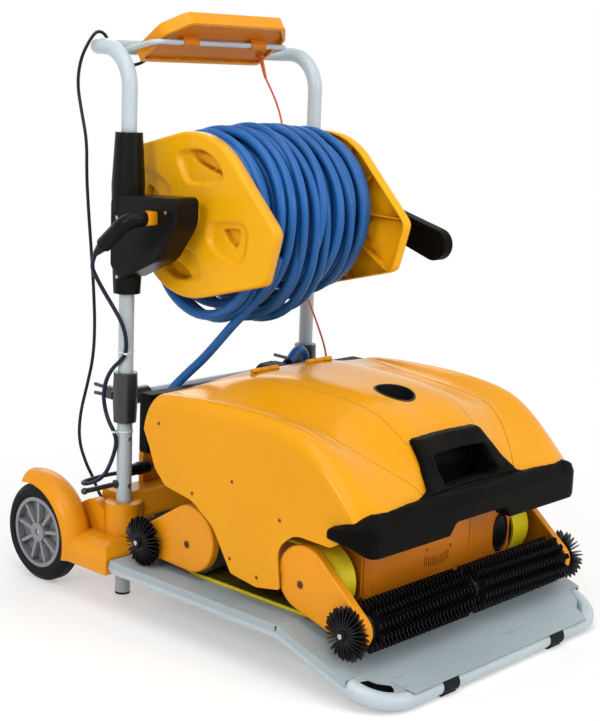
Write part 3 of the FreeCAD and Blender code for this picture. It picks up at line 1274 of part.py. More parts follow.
# ======== Build ========
brackets = make_reel_brackets()
shell = body_shell()
right_cover = make_side_cover(shell)
top_cover = make_top_cover(shell)
body_tub = make_body_tub()
front_bumper = make_front_bumper().cut(top_cover).cut(body_tub)
nodes = {
    "base_frame": make_base_frame(),
    "tray": make_tray(),
    "rubber_feet": make_rubber_feet(),
    "rear_chassis": make_rear_chassis(),
    "wheel_axle": make_wheel_axle(),
    "lower_posts": make_lower_posts(),
    "upper_handle": make_upper_handle(),
    "mid_sleeves": make_mid_sleeves(),
    "cross_tube": make_cross_tube(),
    "cord_hooks": make_cord_hooks(),
    "reel_brackets": brackets,
    "reel_socket": make_reel_socket(),
    "supply_cradle": make_supply_cradle(),
    "supply_case": make_supply_case(),
    "supply_base": make_supply_base(),
    "supply_gland": make_supply_gland(),
    "screws": make_screws(brackets),
    "cable_ties": make_cable_ties(),
    "left_side_cover": mirrored(right_cover),
    "right_side_cover": right_cover,
    "top_cover": top_cover,
    "front_bumper": front_bumper,
    "rear_bumper": make_rear_bumper(),
    "body_tub": body_tub,
    "filter_basket": make_filter_basket(),
    "pump_motor": make_pump_motor(),
    "hub_axles": make_hub_axles(),
    "cable_swivel": make_cable_swivel(),
    "tracks": make_tracks(),
    "left_tyre": make_tyre(),
    "left_rim": make_rim(),
    "right_tyre": mirrored(make_tyre()),
    "right_rim": mirrored(make_rim()),
    "reel_flanges": make_reel_flanges(),
    "reel_drum": make_reel_drum(),
    "cable_winding": make_cable_winding(),
    "crank_arm": make_crank_arm(),
    "crank_grip": make_crank_grip(),
    "lid": make_lid(shell),
    "outlet_ring": make_outlet_ring(),
    "impeller": make_impeller(),
    "front_arms": make_arms(front_hub_y, front_brush, (-622.0, 212.0), 70.0, 36.0),
    "rear_arms": make_arms(rear_hub_y, rear_brush, (-285.0, 213.0), 74.0, 34.0),
    "left_front_track_wheel": make_track_wheel(front_hub_y),
    "left_rear_track_wheel": make_track_wheel(rear_hub_y),
    "right_front_track_wheel": mirrored(make_track_wheel(front_hub_y)),
    "right_rear_track_wheel": mirrored(make_track_wheel(rear_hub_y)),
}
for place, centre in (("front", front_brush), ("rear", rear_brush)):
    half = make_brush(centre)
    nodes[place + "_right_brush"] = half
    nodes[place + "_left_brush"] = mirrored(half)

nodes["power_button"] = make_power_button()
solid_nodes = Part.makeCompound(list(nodes.values()))
nodes["elbow_plug"] = make_elbow_plug()
nodes["inline_connector"] = make_inline_connector()
mains_coil = make_mains_coil()
nodes["mains_coil"] = mains_coil
nodes["mains_plug"] = make_mains_plug().cut(mains_coil)
nodes["main_cable"] = cord(main_route, 2 * cable_r, "main_cable")
nodes["reel_lead"] = cord(lead_route, lead_d, "reel_lead")
nodes["control_cord"] = cord(control_route, control_d, "control_cord")
nodes["mains_cord"] = cord(mains_route, mains_d, "mains_cord")

bounds = solid_nodes.optimalBoundingBox(False, False)
origin = Vector((bounds.XMin + bounds.XMax) / 2, (bounds.YMin + bounds.YMax) / 2, bounds.ZMin)
print("origin", [round(v, 4) for v in origin], "size",
      [round(v, 2) for v in (bounds.XLength, bounds.YLength, bounds.ZLength)])

os.makedirs("parts", exist_ok=True)
for name, shape in nodes.items():
    print(name, "solids", len(shape.Solids), "valid", shape.isValid(), round(shape.Volume))
    shape.translate(origin * -1)
    shape.exportStep("parts/" + name + ".step")
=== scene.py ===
import bpy, bmesh, math, random
from mathutils import Matrix, Vector


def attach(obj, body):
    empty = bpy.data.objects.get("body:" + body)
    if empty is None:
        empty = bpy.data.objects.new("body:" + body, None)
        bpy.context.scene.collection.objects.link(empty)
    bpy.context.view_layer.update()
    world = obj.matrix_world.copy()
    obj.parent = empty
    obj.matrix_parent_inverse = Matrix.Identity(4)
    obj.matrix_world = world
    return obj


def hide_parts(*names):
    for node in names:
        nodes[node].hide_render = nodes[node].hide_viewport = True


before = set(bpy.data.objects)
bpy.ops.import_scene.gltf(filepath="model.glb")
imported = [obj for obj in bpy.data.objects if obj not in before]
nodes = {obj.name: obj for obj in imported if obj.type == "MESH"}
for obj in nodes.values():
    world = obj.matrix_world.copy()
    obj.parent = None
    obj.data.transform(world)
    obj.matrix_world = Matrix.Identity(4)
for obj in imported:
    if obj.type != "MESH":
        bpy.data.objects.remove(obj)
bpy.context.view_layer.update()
backShift = 0.28425  # the posts stand this far behind the row's middle
random.seed(41)


def at(x, y, z):  # millimetres from the posts and the robot's middle, to row metres
    return Vector((x / 1000, y / 1000 + backShift, z / 1000))


def clamp(value, low=0.0, high=1.0):
    return max(low, min(high, value))


def linked(name, data):  # a new object in the scene
    obj = bpy.data.objects.new(name, data)
    bpy.context.collection.objects.link(obj)
    return obj


# Camera, lamps and room
camera = {
    "place": (-2.4749, -2.27635, 1.2261),
    "azimuth": -47.106, "elevation": 11.159, "roll": 2.155,
    "lens": 74.92, "sensor": 36, "reach": 60,
}


def placeCamera(c):
    data = bpy.data.cameras.new("viewpoint")
    data.lens = c["lens"]
    data.sensor_width = c["sensor"]
    data.clip_end = c["reach"]
    eye = linked("viewpoint", data)
    a, e, r = (math.radians(c[k]) for k in ("azimuth", "elevation", "roll"))
    back = Vector((math.sin(a) * math.cos(e), -math.cos(a) * math.cos(e), math.sin(e)))
    right = Vector((math.cos(a), math.sin(a), 0))
    up = back.cross(right)
    across = right * math.cos(r) + up * math.sin(r)
    upward = up * math.cos(r) - right * math.sin(r)
    turn = Matrix((across, upward, back)).transposed().to_4x4()
    eye.matrix_world = Matrix.Translation(c["place"]) @ turn
    bpy.context.scene.camera = eye


lamps = {
    "skylight": {"place": (-1.2, -1.2, 4.2), "aim": (0, 0, 0.4), "size": 3.6, "power": 74},
    "window": {"place": (-3.6, -1.0, 2.5), "aim": (0, 0, 0.6), "size": 1.3, "power": 44},
    "front": {"place": (0.9, -4.0, 2.3), "aim": (0, 0, 0.5), "size": 1.5, "power": 44},
    "behind": {"place": (2.4, 3.4, 3.0), "aim": (0, 0, 0.7), "size": 2.6, "power": 36},
}
room = {
    "worldLevel": 0.62, "floorColour": (0.93, 0.93, 0.92), "floorSize": 24,
    "floorRoughness": 0.8, "floorShine": 0.1,
    "whiteFrom": 0.5, "whiteTo": 1.9, "whiteNear": 0.35,  # how far out the seen floor turns plain white
}


# Node helpers
def feed(tree, socket, value):  # links a socket, or sets its own number or colour
    if isinstance(value, bpy.types.NodeSocket):
        tree.links.new(value, socket)
    else:
        socket.default_value = (*value, 1) if socket.type == "RGBA" else value


def fill(tree, node, **values):  # feeds inputs by their labels, with _ for a space
    for label, value in values.items():
        feed(tree, node.inputs[label.replace("_", " ")], value)
    return node


def addNode(tree, kind, **settings):
    node = tree.nodes.new("ShaderNode" + kind)
    for key, value in settings.items():
        setattr(node, key, value)
    return node


def newGroup(name, ins, outs):
    group = bpy.data.node_groups.new(name, "ShaderNodeTree")
    for label, kind, value in ins:
        socket = group.interface.new_socket(label, in_out="INPUT", socket_type="NodeSocket" + kind)
        socket.default_value = value
    for label, kind in outs:
        group.interface.new_socket(label, in_out="OUTPUT", socket_type="NodeSocket" + kind)
    return group, group.nodes.new("NodeGroupInput").outputs, group.nodes.new("NodeGroupOutput").inputs


def useGroup(tree, group, **values):
    return fill(tree, addNode(tree, "Group", node_tree=group), **values)


def mathNode(tree, operation, a, b):
    node = addNode(tree, "Math", operation=operation)
    feed(tree, node.inputs[0], a)
    feed(tree, node.inputs[1], b)
    return node.outputs[0]


def mixColour(tree, factor, a, b, blend="MIX"):
    node = addNode(tree, "Mix", data_type="RGBA", blend_type=blend)
    for slot, value in ((0, factor), (6, a), (7, b)):
        feed(tree, node.inputs[slot], value)
    return node.outputs[2]


def spanned(tree, value, low, high):  # 0 at low and below, 1 at high and above
    return fill(tree, addNode(tree, "MapRange"), Value=value, From_Min=low, From_Max=high).outputs[0]


def noiseMask(tree, scale, detail, low, high, stretch=None, distortion=0.0):
    where = addNode(tree, "TexCoord").outputs["Object"]
    if stretch:
        where = fill(tree, addNode(tree, "Mapping"), Vector=where, Scale=stretch).outputs[0]
    noise = fill(tree, addNode(tree, "TexNoise"), Vector=where, Scale=scale, Detail=detail,
                 Distortion=distortion)
    return spanned(tree, noise.outputs["Fac"], low, high)


def whiteSeen(tree):  # camera, glass and mirrors see a plain white
    path = addNode(tree, "LightPath")
    direct = mathNode(tree, "MAXIMUM", path.outputs["Is Camera Ray"], path.outputs["Is Transmission Ray"])
    return mathNode(tree, "MAXIMUM", direct, path.outputs["Is Glossy Ray"])


def mixShaders(tree, share, first, second, target):
    mix = addNode(tree, "MixShader")
    for slot, output in enumerate((share, first.outputs[0], second.outputs[0])):
        tree.links.new(output, mix.inputs[slot])
    tree.links.new(mix.outputs[0], tree.nodes[target].inputs[0])


def buildWorld(r):
    world = bpy.data.worlds.new("studio")
    world.use_nodes = True
    bpy.context.scene.world = world
    tree = world.node_tree
    plain = fill(tree, tree.nodes["Background"], Color=(1, 1, 1), Strength=r["worldLevel"])
    white = fill(tree, addNode(tree, "Background"), Color=(1, 1, 1), Strength=1.0)
    mixShaders(tree, whiteSeen(tree), plain, white, "World Output")


def buildFloor(r):
    half = r["floorSize"] / 2
    mesh = bpy.data.meshes.new("floor")
    corners = [(-half, -half, 0), (half, -half, 0), (half, half, 0), (-half, half, 0)]
    mesh.from_pydata(corners, [], [(0, 1, 2, 3)])
    linked("floor", mesh)
    m = bpy.data.materials.new("floorWhite")
    m.use_nodes = True
    mesh.materials.append(m)
    tree = m.node_tree
    paint = fill(tree, tree.nodes["Principled BSDF"], Base_Color=r["floorColour"],
                 Roughness=r["floorRoughness"], Specular_IOR_Level=r["floorShine"])
    white = fill(tree, addNode(tree, "Emission"), Strength=1.0)
    reach = addNode(tree, "VectorMath", operation="LENGTH")
    feed(tree, reach.inputs[0], addNode(tree, "TexCoord").outputs["Object"])
    fade = fill(tree, addNode(tree, "MapRange", interpolation_type="SMOOTHSTEP"),
                Value=reach.outputs["Value"], From_Min=r["whiteFrom"], From_Max=r["whiteTo"],
                To_Min=r["whiteNear"])
    share = mathNode(tree, "MULTIPLY", fade.outputs[0], whiteSeen(tree))
    mixShaders(tree, share, paint, white, "Material Output")


def placeLamps(rows):
    for name, row in rows.items():
        data = bpy.data.lights.new(name, "AREA")
        data.shape = "DISK"
        data.size = row["size"]
        data.energy = row["power"]
        lamp = linked(name, data)
        lamp.location = row["place"]
        aim = Vector(row["aim"]) - Vector(row["place"])
        lamp.rotation_euler = aim.to_track_quat("-Z", "Y").to_euler()


placeCamera(camera)
buildWorld(room)
buildFloor(room)
placeLamps(lamps)
bpy.context.scene.view_settings.view_transform = "Standard"
print("camera, room and lamps are up")


# Shader groups that several finishes share
anyColour = (0.8, 0.8, 0.8, 1)  # stands until a colour is linked


def overlaid(group, ins, outs, mask, label):  # lays a second colour over the first by a mask
    mask = mathNode(group, "MULTIPLY", mask, ins["Amount"])
    feed(group, outs["Colour"], mixColour(group, mask, ins["Colour"], ins[label]))
    return mask


def makeToneShift():  # slow drift of a moulded colour, darker by up to a share
    group, ins, outs = newGroup(
        "toneShift", [("Colour", "Color", anyColour), ("Amount", "Float", 0.1), ("Scale", "Float", 3.0)],
        [("Colour", "Color")])
    drift = noiseMask(group, ins["Scale"], 3.0, 0.3, 0.7)
    low = mathNode(group, "SUBTRACT", 1.0, ins["Amount"])
    level = fill(group, addNode(group, "MapRange"), Value=drift, To_Min=low).outputs[0]
    grey = fill(group, addNode(group, "CombineColor"), Red=level, Green=level, Blue=level).outputs[0]
    feed(group, outs["Colour"], mixColour(group, 1.0, ins["Colour"], grey, "MULTIPLY"))
    return group


def makeDust():  # pale dust that lies on upward faces, broken up by a noise
    group, ins, outs = newGroup(
        "settledDust",
        [("Colour", "Color", anyColour), ("Dust Colour", "Color", (0.5, 0.47, 0.42, 1)),
         ("Amount", "Float", 0.3), ("Roughness", "Float", 0.3)],
        [("Colour", "Color"), ("Roughness", "Float")])
    facing = addNode(group, "NewGeometry").outputs["Normal"]
    up = fill(group, addNode(group, "SeparateXYZ"), Vector=facing).outputs["Z"]
    patches = noiseMask(group, 9.0, 8.0, 0.32, 0.72)
    lying = mathNode(group, "MULTIPLY", spanned(group, up, 0.1, 1.0), patches)
    mask = overlaid(group, ins, outs, lying, "Dust Colour")
    rougher = mathNode(group, "MULTIPLY", mask, 0.5)
    feed(group, outs["Roughness"], mathNode(group, "ADD", ins["Roughness"], rougher))
    return group


def makeGrain():  # fine moulding texture as a height
    group, ins, outs = newGroup("mouldGrain", [("Scale", "Float", 900.0)], [("Height", "Float")])
    feed(group, outs["Height"], noiseMask(group, ins["Scale"], 2.0, 0.25, 0.75))
    return group


def makeScuffs():  # long thin scratches and small knocks
    group, ins, outs = newGroup(
        "scuffs",
        [("Colour", "Color", anyColour), ("Scuff Colour", "Color", (0.3, 0.3, 0.3, 1)),
         ("Amount", "Float", 0.4)],
        [("Colour", "Color")])
    scratches = noiseMask(group, 5.0, 6.0, 0.63, 0.70, stretch=(3.0, 26.0, 14.0), distortion=0.6)
    knocks = noiseMask(group, 46.0, 3.0, 0.70, 0.74)
    overlaid(group, ins, outs, mathNode(group, "MAXIMUM", scratches, knocks), "Scuff Colour")
    return group


def makeCreviceShade():  # painted shade, with some grime, darkening the corners and pockets that ambient occlusion finds
    group, ins, outs = newGroup(
        "creviceShadeAndGrime",
        [("Colour", "Color", anyColour), ("Grime Colour", "Color", (0.1, 0.06, 0.03, 1)),
         ("Amount", "Float", 0.5), ("Reach", "Float", 0.012)],
        [("Colour", "Color")])
    shade = fill(group, addNode(group, "AmbientOcclusion", samples=6), Distance=ins["Reach"])
    near = spanned(group, shade.outputs["AO"], 0.85, 0.35)
    patches = noiseMask(group, 30.0, 4.0, 0.2, 0.6)
    overlaid(group, ins, outs, mathNode(group, "MULTIPLY", near, patches), "Grime Colour")
    return group


toneShift, settledDust, mouldGrain = makeToneShift(), makeDust(), makeGrain()
scuffs, creviceShadeAndGrime = makeScuffs(), makeCreviceShade()


def finish(name, colour, roughness, metallic=0.0, coat=0.0, coatRoughness=0.1, specular=0.5,
           tone=0.12, toneScale=3.0, dust=0.15, dustColour=(0.45, 0.42, 0.37),
           grain=900.0, grainDepth=0.02, shadeAndGrime=0.0, shadeAndGrimeColour=(0.08, 0.045, 0.02), reach=0.012,
           scuff=0.0, scuffColour=(0.3, 0.3, 0.3), edge=0.0):  # grainDepth and edge in millimetres
    m = bpy.data.materials.new(name)
    m.use_nodes = True
    tree = m.node_tree
    chain = useGroup(tree, toneShift, Colour=colour, Amount=tone, Scale=toneScale).outputs[0]
    if scuff:
        chain = useGroup(tree, scuffs, Colour=chain, Scuff_Colour=scuffColour, Amount=scuff).outputs[0]
    # shadeAndGrime darkens corners and pockets: painted shade, with some grime
    if shadeAndGrime:
        chain = useGroup(tree, creviceShadeAndGrime, Colour=chain, Grime_Colour=shadeAndGrimeColour, Amount=shadeAndGrime,
                         Reach=reach).outputs[0]
    dusty = useGroup(tree, settledDust, Colour=chain, Dust_Colour=dustColour, Amount=dust,
                     Roughness=roughness).outputs
    grains = useGroup(tree, mouldGrain, Scale=grain).outputs[0]
    bump = fill(tree, addNode(tree, "Bump"), Height=grains, Strength=1.0, Distance=grainDepth / 1000)
    if edge:  # moulded corners catch the light as small rounds
        rounded = fill(tree, addNode(tree, "Bevel", samples=4), Radius=edge / 1000).outputs[0]
        feed(tree, bump.inputs["Normal"], rounded)
    fill(tree, tree.nodes["Principled BSDF"], Base_Color=dusty["Colour"], Roughness=dusty["Roughness"],
         Metallic=metallic, Specular_IOR_Level=specular, Coat_Weight=coat, Coat_Roughness=coatRoughness,
         Normal=bump.outputs[0])
    return m


orange = (0.80, 0.300, 0.006)
amber = (0.78, 0.325, 0.003)
paleGrey = (0.47, 0.545, 0.585)
black = (0.0065, 0.0062, 0.006)
# each shadeAndGrimeColour is a darker tone of its base colour: painted shade in corners, pockets and between
# cable turns, with some grime
looks = {
    "coverAmber": dict(colour=amber, roughness=0.16, specular=0.16, edge=2.5, tone=0.08, dust=0.05,
        dustColour=(0.62, 0.42, 0.16), grain=260, grainDepth=0.035, shadeAndGrime=0.5,
        shadeAndGrimeColour=(0.20, 0.06, 0.004), reach=0.02),
    "mouldOrange": dict(colour=orange, roughness=0.26, specular=0.18, edge=3.5, tone=0.10, dust=0.06,
        dustColour=(0.60, 0.38, 0.14), grain=420, grainDepth=0.03, shadeAndGrime=0.6,
        shadeAndGrimeColour=(0.22, 0.05, 0.003), reach=0.03),
    "tubOrange": dict(colour=(0.66, 0.19, 0.005), roughness=0.42, specular=0.25, tone=0.18, dust=0.08,
        dustColour=(0.40, 0.26, 0.12), grain=600, grainDepth=0.05, shadeAndGrime=0.5,
        shadeAndGrimeColour=(0.14, 0.04, 0.004), reach=0.03),
    "supplyUnder": dict(colour=(0.66, 0.19, 0.005), roughness=0.42, specular=0.18, tone=0.12, dust=0.04,
        grain=700, grainDepth=0.05, shadeAndGrime=0.5, shadeAndGrimeColour=(0.16, 0.04, 0.003)),
    "powderGrey": dict(colour=paleGrey, roughness=0.33, specular=0.4, coat=0.1, tone=0.10, dust=0.06,
        dustColour=(0.38, 0.40, 0.41), grain=520, grainDepth=0.06, shadeAndGrime=0.45,
        shadeAndGrimeColour=(0.12, 0.12, 0.12), scuff=0.16, scuffColour=(0.24, 0.24, 0.24)),
    "trayGrey": dict(colour=(0.36, 0.43, 0.46), roughness=0.38, specular=0.35, coat=0.05, tone=0.16,
        toneScale=2.2, dust=0.25, dustColour=(0.34, 0.36, 0.36), grain=420, grainDepth=0.07, shadeAndGrime=0.7,
        shadeAndGrimeColour=(0.10, 0.10, 0.09), scuff=0.42, scuffColour=(0.20, 0.20, 0.20)),
    "blackSatin": dict(colour=black, roughness=0.30, specular=0.10, edge=3.0, tone=0.3, dust=0.01,
        dustColour=(0.10, 0.10, 0.10), grain=800, grainDepth=0.06, scuff=0.08,
        scuffColour=(0.05, 0.05, 0.05)),
    "blackMatt": dict(colour=(0.0034, 0.0031, 0.0024), roughness=0.46, specular=0.04, edge=3.5, tone=0.3,
        dust=0.012, dustColour=(0.12, 0.115, 0.11), grain=700, grainDepth=0.10, scuff=0.06,
        scuffColour=(0.04, 0.04, 0.04)),
    "sleeveBlack": dict(colour=(0.024, 0.025, 0.025), roughness=0.28, specular=0.6, edge=2.5, tone=0.3,
        dust=0.03, dustColour=(0.14, 0.14, 0.14), grain=800, grainDepth=0.06, scuff=0.2,
        scuffColour=(0.08, 0.08, 0.08)),
    "rubber": dict(colour=(0.006, 0.007, 0.009), roughness=0.62, tone=0.3, dust=0.05,
        dustColour=(0.16, 0.16, 0.16), grain=500, grainDepth=0.12, specular=0.14),
    "bristle": dict(colour=(0.004, 0.004, 0.0045), roughness=0.40, specular=0.25, tone=0.3, dust=0.03,
        dustColour=(0.10, 0.11, 0.12), grain=400, grainDepth=0.05),
    "rimGrey": dict(colour=(0.27, 0.27, 0.29), roughness=0.42, specular=0.3, tone=0.15, dust=0.12,
        dustColour=(0.25, 0.25, 0.25), grain=500, grainDepth=0.06, shadeAndGrime=0.6,
        shadeAndGrimeColour=(0.02, 0.02, 0.02)),
    "beltYellow": dict(colour=(0.90, 0.72, 0.012), roughness=0.40, specular=0.25, tone=0.15, dust=0.06,
        dustColour=(0.35, 0.30, 0.18), grain=400, grainDepth=0.10, shadeAndGrime=0.25,
        shadeAndGrimeColour=(0.30, 0.22, 0.01)),
    # toothShade is painted shade: the yellow belt's inner face in its own shadow
    "toothShade": dict(colour=(0.085, 0.062, 0.010), roughness=0.5, specular=0.2, tone=0.25),
    # wellShade is painted shade: a dark brown-orange laid on well hollows, vent slots and screw heads
    "wellShade": dict(colour=(0.085, 0.028, 0.004), roughness=0.40, specular=0.2, tone=0.2, grain=800),
    # the dark orange deep in the flange hollows is painted shade
    "flangeAmber": dict(colour=(0.85, 0.405, 0.004), roughness=0.26, specular=0.16, edge=9.0, tone=0.08,
        dust=0.03, dustColour=(0.60, 0.40, 0.14), grain=320, grainDepth=0.03, shadeAndGrime=0.7,
        shadeAndGrimeColour=(0.42, 0.09, 0.002), reach=0.04),
    "wheelGrey": dict(colour=(0.05, 0.05, 0.052), roughness=0.5, tone=0.2),
    "cableBlue": dict(colour=(0.013, 0.118, 0.38), roughness=0.36, specular=0.28, tone=0.25,
        toneScale=5.0, dust=0.05, dustColour=(0.16, 0.22, 0.30), grain=300, grainDepth=0.05, shadeAndGrime=0.35,
        shadeAndGrimeColour=(0.004, 0.016, 0.05), reach=0.015),
    "leadNavy": dict(colour=(0.008, 0.014, 0.034), roughness=0.38, specular=0.25, tone=0.2, dust=0.03,
        grain=500),
    "cordOrange": dict(colour=(0.70, 0.125, 0.022), roughness=0.42, tone=0.12, dust=0.05, grain=600),
    "cordBlack": dict(colour=(0.009, 0.010, 0.012), roughness=0.36, specular=0.22, tone=0.2, dust=0.03,
        grain=600),
    "steel": dict(colour=(0.55, 0.55, 0.54), roughness=0.30, metallic=1.0, tone=0.15, dust=0.15,
        grain=800, shadeAndGrime=0.3, shadeAndGrimeColour=(0.1, 0.08, 0.06)),
    "tieWhite": dict(colour=(0.72, 0.74, 0.75), roughness=0.45, tone=0.05, dust=0.05),
    "ringDark": dict(colour=(0.009, 0.009, 0.009), roughness=0.35, specular=0.18, tone=0.2, dust=0.02),
    "plateGrey": dict(colour=(0.50, 0.49, 0.46), roughness=0.4, metallic=0.6, tone=0.2, dust=0.1),
}
finishes = {name: finish(name, **look) for name, look in looks.items()}
wearsFinish = {
    "powderGrey": ["base_frame", "lower_posts", "upper_handle", "cross_tube", "supply_cradle"],
    "trayGrey": ["tray"],
    "rubber": ["rubber_feet", "left_tyre", "right_tyre"],
    "rimGrey": ["left_rim", "right_rim"],
    "steel": ["wheel_axle", "hub_axles", "screws"],
    "flangeAmber": ["reel_flanges"],
    "mouldOrange": ["rear_chassis", "reel_drum", "supply_case", "reel_socket",
                    "front_arms", "rear_arms"],
    "supplyUnder": ["supply_base"],
    "coverAmber": ["left_side_cover", "right_side_cover", "top_cover", "lid"],
    "tubOrange": ["body_tub"],
    "sleeveBlack": ["mid_sleeves", "cord_hooks"],
    "blackMatt": ["front_bumper", "rear_bumper", "filter_basket", "pump_motor",
                  "impeller", "crank_arm", "crank_grip", "power_button", "cable_swivel"],
    "blackSatin": ["reel_brackets", "elbow_plug", "inline_connector", "mains_plug"],
    "ringDark": ["outlet_ring"],
    "beltYellow": ["tracks"],
    "wheelGrey": [f"{s}_{p}_track_wheel" for s in ("left", "right") for p in ("front", "rear")],
    "bristle": [f"{p}_{s}_brush" for s in ("left", "right") for p in ("front", "rear")],
    "cableBlue": ["cable_winding", "main_cable"],
    "leadNavy": ["reel_lead"],
    "cordOrange": ["control_cord", "supply_gland"],
    "cordBlack": ["mains_cord", "mains_coil"],
    "tieWhite": ["cable_ties"],
}
for finishName, nodeNames in wearsFinish.items():
    for nodeName in nodeNames:
        mesh = nodes[nodeName].data
        mesh.materials.clear()
        mesh.materials.append(finishes[finishName])
print("finishes are on the carried-over pieces")


def cover(piece, finishName, body):  # gives a new piece its finish and its body
    piece.data.materials.clear()
    piece.data.materials.append(finishes[finishName])
    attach(piece, body)
    return piece


# Cords, each a smooth line drawn by its turning points, which are in row metres
def softLine(name, points, diameter, steps=6):
    curve = bpy.data.curves.new(name, "CURVE")
    curve.dimensions = "3D"
    curve.resolution_u = steps
    curve.bevel_depth = diameter / 2
    curve.bevel_resolution = 5
    curve.use_fill_caps = True
    spline = curve.splines.new("NURBS")
    spline.points.add(len(points) - 1)
    for spot, p in zip(spline.points, points):
        spot.co = (*p, 1)
    spline.order_u = 3
    spline.use_endpoint_u = True
    return linked(name, curve)


def asMesh(line):  # the same line as a plain mesh piece
    name = line.name
    line.name = name + "Line"
    piece = linked(name, bpy.data.meshes.new_from_object(line))
    bpy.data.objects.remove(line)
    return piece


def lineLength(points):  # length of the smooth line, measured on a bare copy
    bare = softLine("bareLine", points, 0.001, steps=24)
    bare.data.bevel_depth = 0
    mesh = bpy.data.meshes.new_from_object(bare)
    spots = [v.co for v in mesh.vertices]
    total = sum((b - a).length for a, b in zip(spots, spots[1:]))
    bpy.data.objects.remove(bare)
    return total


mainCable = {
    "name": "floatingCable", "finish": "cableBlue", "slot": "blue_cable", "stands": ["main_cable"],
    "farEnd": "object", "tips": [], "diameter": 0.021,
    "route": [
        (-0.14, -0.0318, 0.812), (-0.142, -0.0177, 0.77), (-0.142, 0.0123, 0.727), (-0.142, 0.0503, 0.69),
        (-0.147, 0.0912, 0.652), (-0.158, 0.1263, 0.608), (-0.172, 0.1623, 0.562), (-0.196, 0.1943, 0.522),
        (-0.222, 0.2182, 0.484), (-0.236, 0.2293, 0.442), (-0.228, 0.2313, 0.402), (-0.196, 0.2303, 0.374),
        (-0.15, 0.2283, 0.36), (-0.095, 0.2283, 0.356), (-0.025, 0.2273, 0.36), (0.045, 0.2273, 0.363),
        (0.115, 0.2273, 0.372), (0.175, 0.2243, 0.395), (0.212, 0.2172, 0.436), (0.222, 0.2082, 0.488),
        (0.208, 0.2003, 0.524), (0.18, 0.1913, 0.544), (0.15, 0.1832, 0.536), (0.127, 0.1772, 0.515)],
}
reelLead = {
    "name": "reelLead", "finish": "leadNavy", "slot": "navy_lead", "stands": ["reel_lead"],
    "farEnd": "connector", "tips": ["inline_connector"], "diameter": 0.0095,
    "route": [
        (-0.403, 0.2672, 0.806), (-0.401, 0.2873, 0.78), (-0.386, 0.2863, 0.75), (-0.362, 0.2883, 0.716),
        (-0.341, 0.2823, 0.682), (-0.328, 0.2642, 0.645), (-0.321, 0.2572, 0.608), (-0.317, 0.2632, 0.574),
        (-0.322, 0.2752, 0.556), (-0.326, 0.2923, 0.541), (-0.328, 0.3093, 0.52), (-0.328, 0.3222, 0.494),
        (-0.327, 0.3282, 0.464), (-0.327, 0.3212, 0.436), (-0.328, 0.3073, 0.411), (-0.324, 0.2923, 0.389),
        (-0.322, 0.2853, 0.366), (-0.322, 0.2933, 0.338), (-0.331, 0.2963, 0.312), (-0.35, 0.2933, 0.29),
        (-0.375, 0.2943, 0.279), (-0.392, 0.3142, 0.272), (-0.38, 0.3362, 0.27), (-0.352, 0.3392, 0.271),
        (-0.318, 0.3322, 0.276), (-0.288, 0.3222, 0.278), (-0.268, 0.3192, 0.279)],
}
controlCord = {
    "name": "controlCord", "finish": "cordOrange", "slot": "orange_cord", "stands": ["control_cord"],
    "farEnd": "object", "tips": [], "diameter": 0.005,
    "route": [
        (0.181, 0.3412, 1.19), (0.195, 0.3372, 1.166), (0.212, 0.3352, 1.138), (0.23, 0.3332, 1.1),
        (0.242, 0.3312, 1.05), (0.249, 0.3312, 0.99), (0.25, 0.3302, 0.925), (0.252, 0.3302, 0.86),
        (0.254, 0.3242, 0.795), (0.258, 0.3023, 0.735), (0.264, 0.2682, 0.682), (0.27, 0.2442, 0.632),
        (0.279, 0.2263, 0.585), (0.291, 0.2142, 0.54), (0.299, 0.2082, 0.498), (0.299, 0.2112, 0.46),
        (0.29, 0.2223, 0.422), (0.268, 0.2422, 0.388), (0.24, 0.2662, 0.36), (0.205, 0.2903, 0.334),
        (0.16, 0.3093, 0.31), (0.11, 0.3182, 0.29), (0.05, 0.3222, 0.274), (-0.015, 0.3222, 0.264),
        (-0.075, 0.3202, 0.262), (-0.13, 0.3182, 0.272), (-0.18, 0.3182, 0.281)],
}
mainsCord = {
    "name": "mainsLead", "finish": "cordBlack", "slot": "black_cord", "stands": ["mains_cord", "mains_coil"],
    "farEnd": "plug", "tips": ["mains_plug"], "diameter": 0.0075,
    "route": [
        (-0.15, 0.3892, 1.231), (-0.16, 0.4062, 1.214), (-0.195, 0.4143, 1.208), (-0.238, 0.4062, 1.222),
        (-0.266, 0.3962, 1.252), (-0.281, 0.3902, 1.276), (-0.307, 0.3882, 1.284), (-0.325, 0.3942, 1.26),
        (-0.331, 0.4163, 1.22), (-0.332, 0.4263, 1.165), (-0.332, 0.4083, 1.1), (-0.331, 0.3912, 1.04),
        (-0.331, 0.3912, 0.965), (-0.331, 0.3832, 0.885), (-0.331, 0.3723, 0.8), (-0.33, 0.3633, 0.71),
        (-0.33, 0.3573, 0.625), (-0.33, 0.3623, 0.55), (-0.33, 0.3842, 0.48), (-0.33, 0.4083, 0.41),
        (-0.33, 0.4123, 0.345), (-0.325, 0.3902, 0.292), (-0.309, 0.3822, 0.256), (-0.284, 0.3942, 0.214),
        (-0.24, 0.4193, 0.175), (-0.185, 0.4492, 0.15), (-0.125, 0.4743, 0.138), (-0.082, 0.4943, 0.126),
        (-0.056, 0.5102, 0.092), (-0.042, 0.5162, 0.058), (-0.033, 0.5212, 0.029), (-0.0275, 0.5302, 0.011)],
    "coilMiddle": (0.015, 0.55925),  # the wound-up rest of the lead, x and y
    "turns": [(0.0435, 0.0042), (0.0355, 0.0042), (0.0365, 0.0118), (0.0450, 0.0120)],  # radius and height
    "perTurn": 14, "driftFrom": 0.7, "lastTurn": 0.25,
    "tail": [(0.0200, 0.6003, 0.0130), (0.0320, 0.6004, 0.0135), (0.0480, 0.60025, 0.0135)],
}


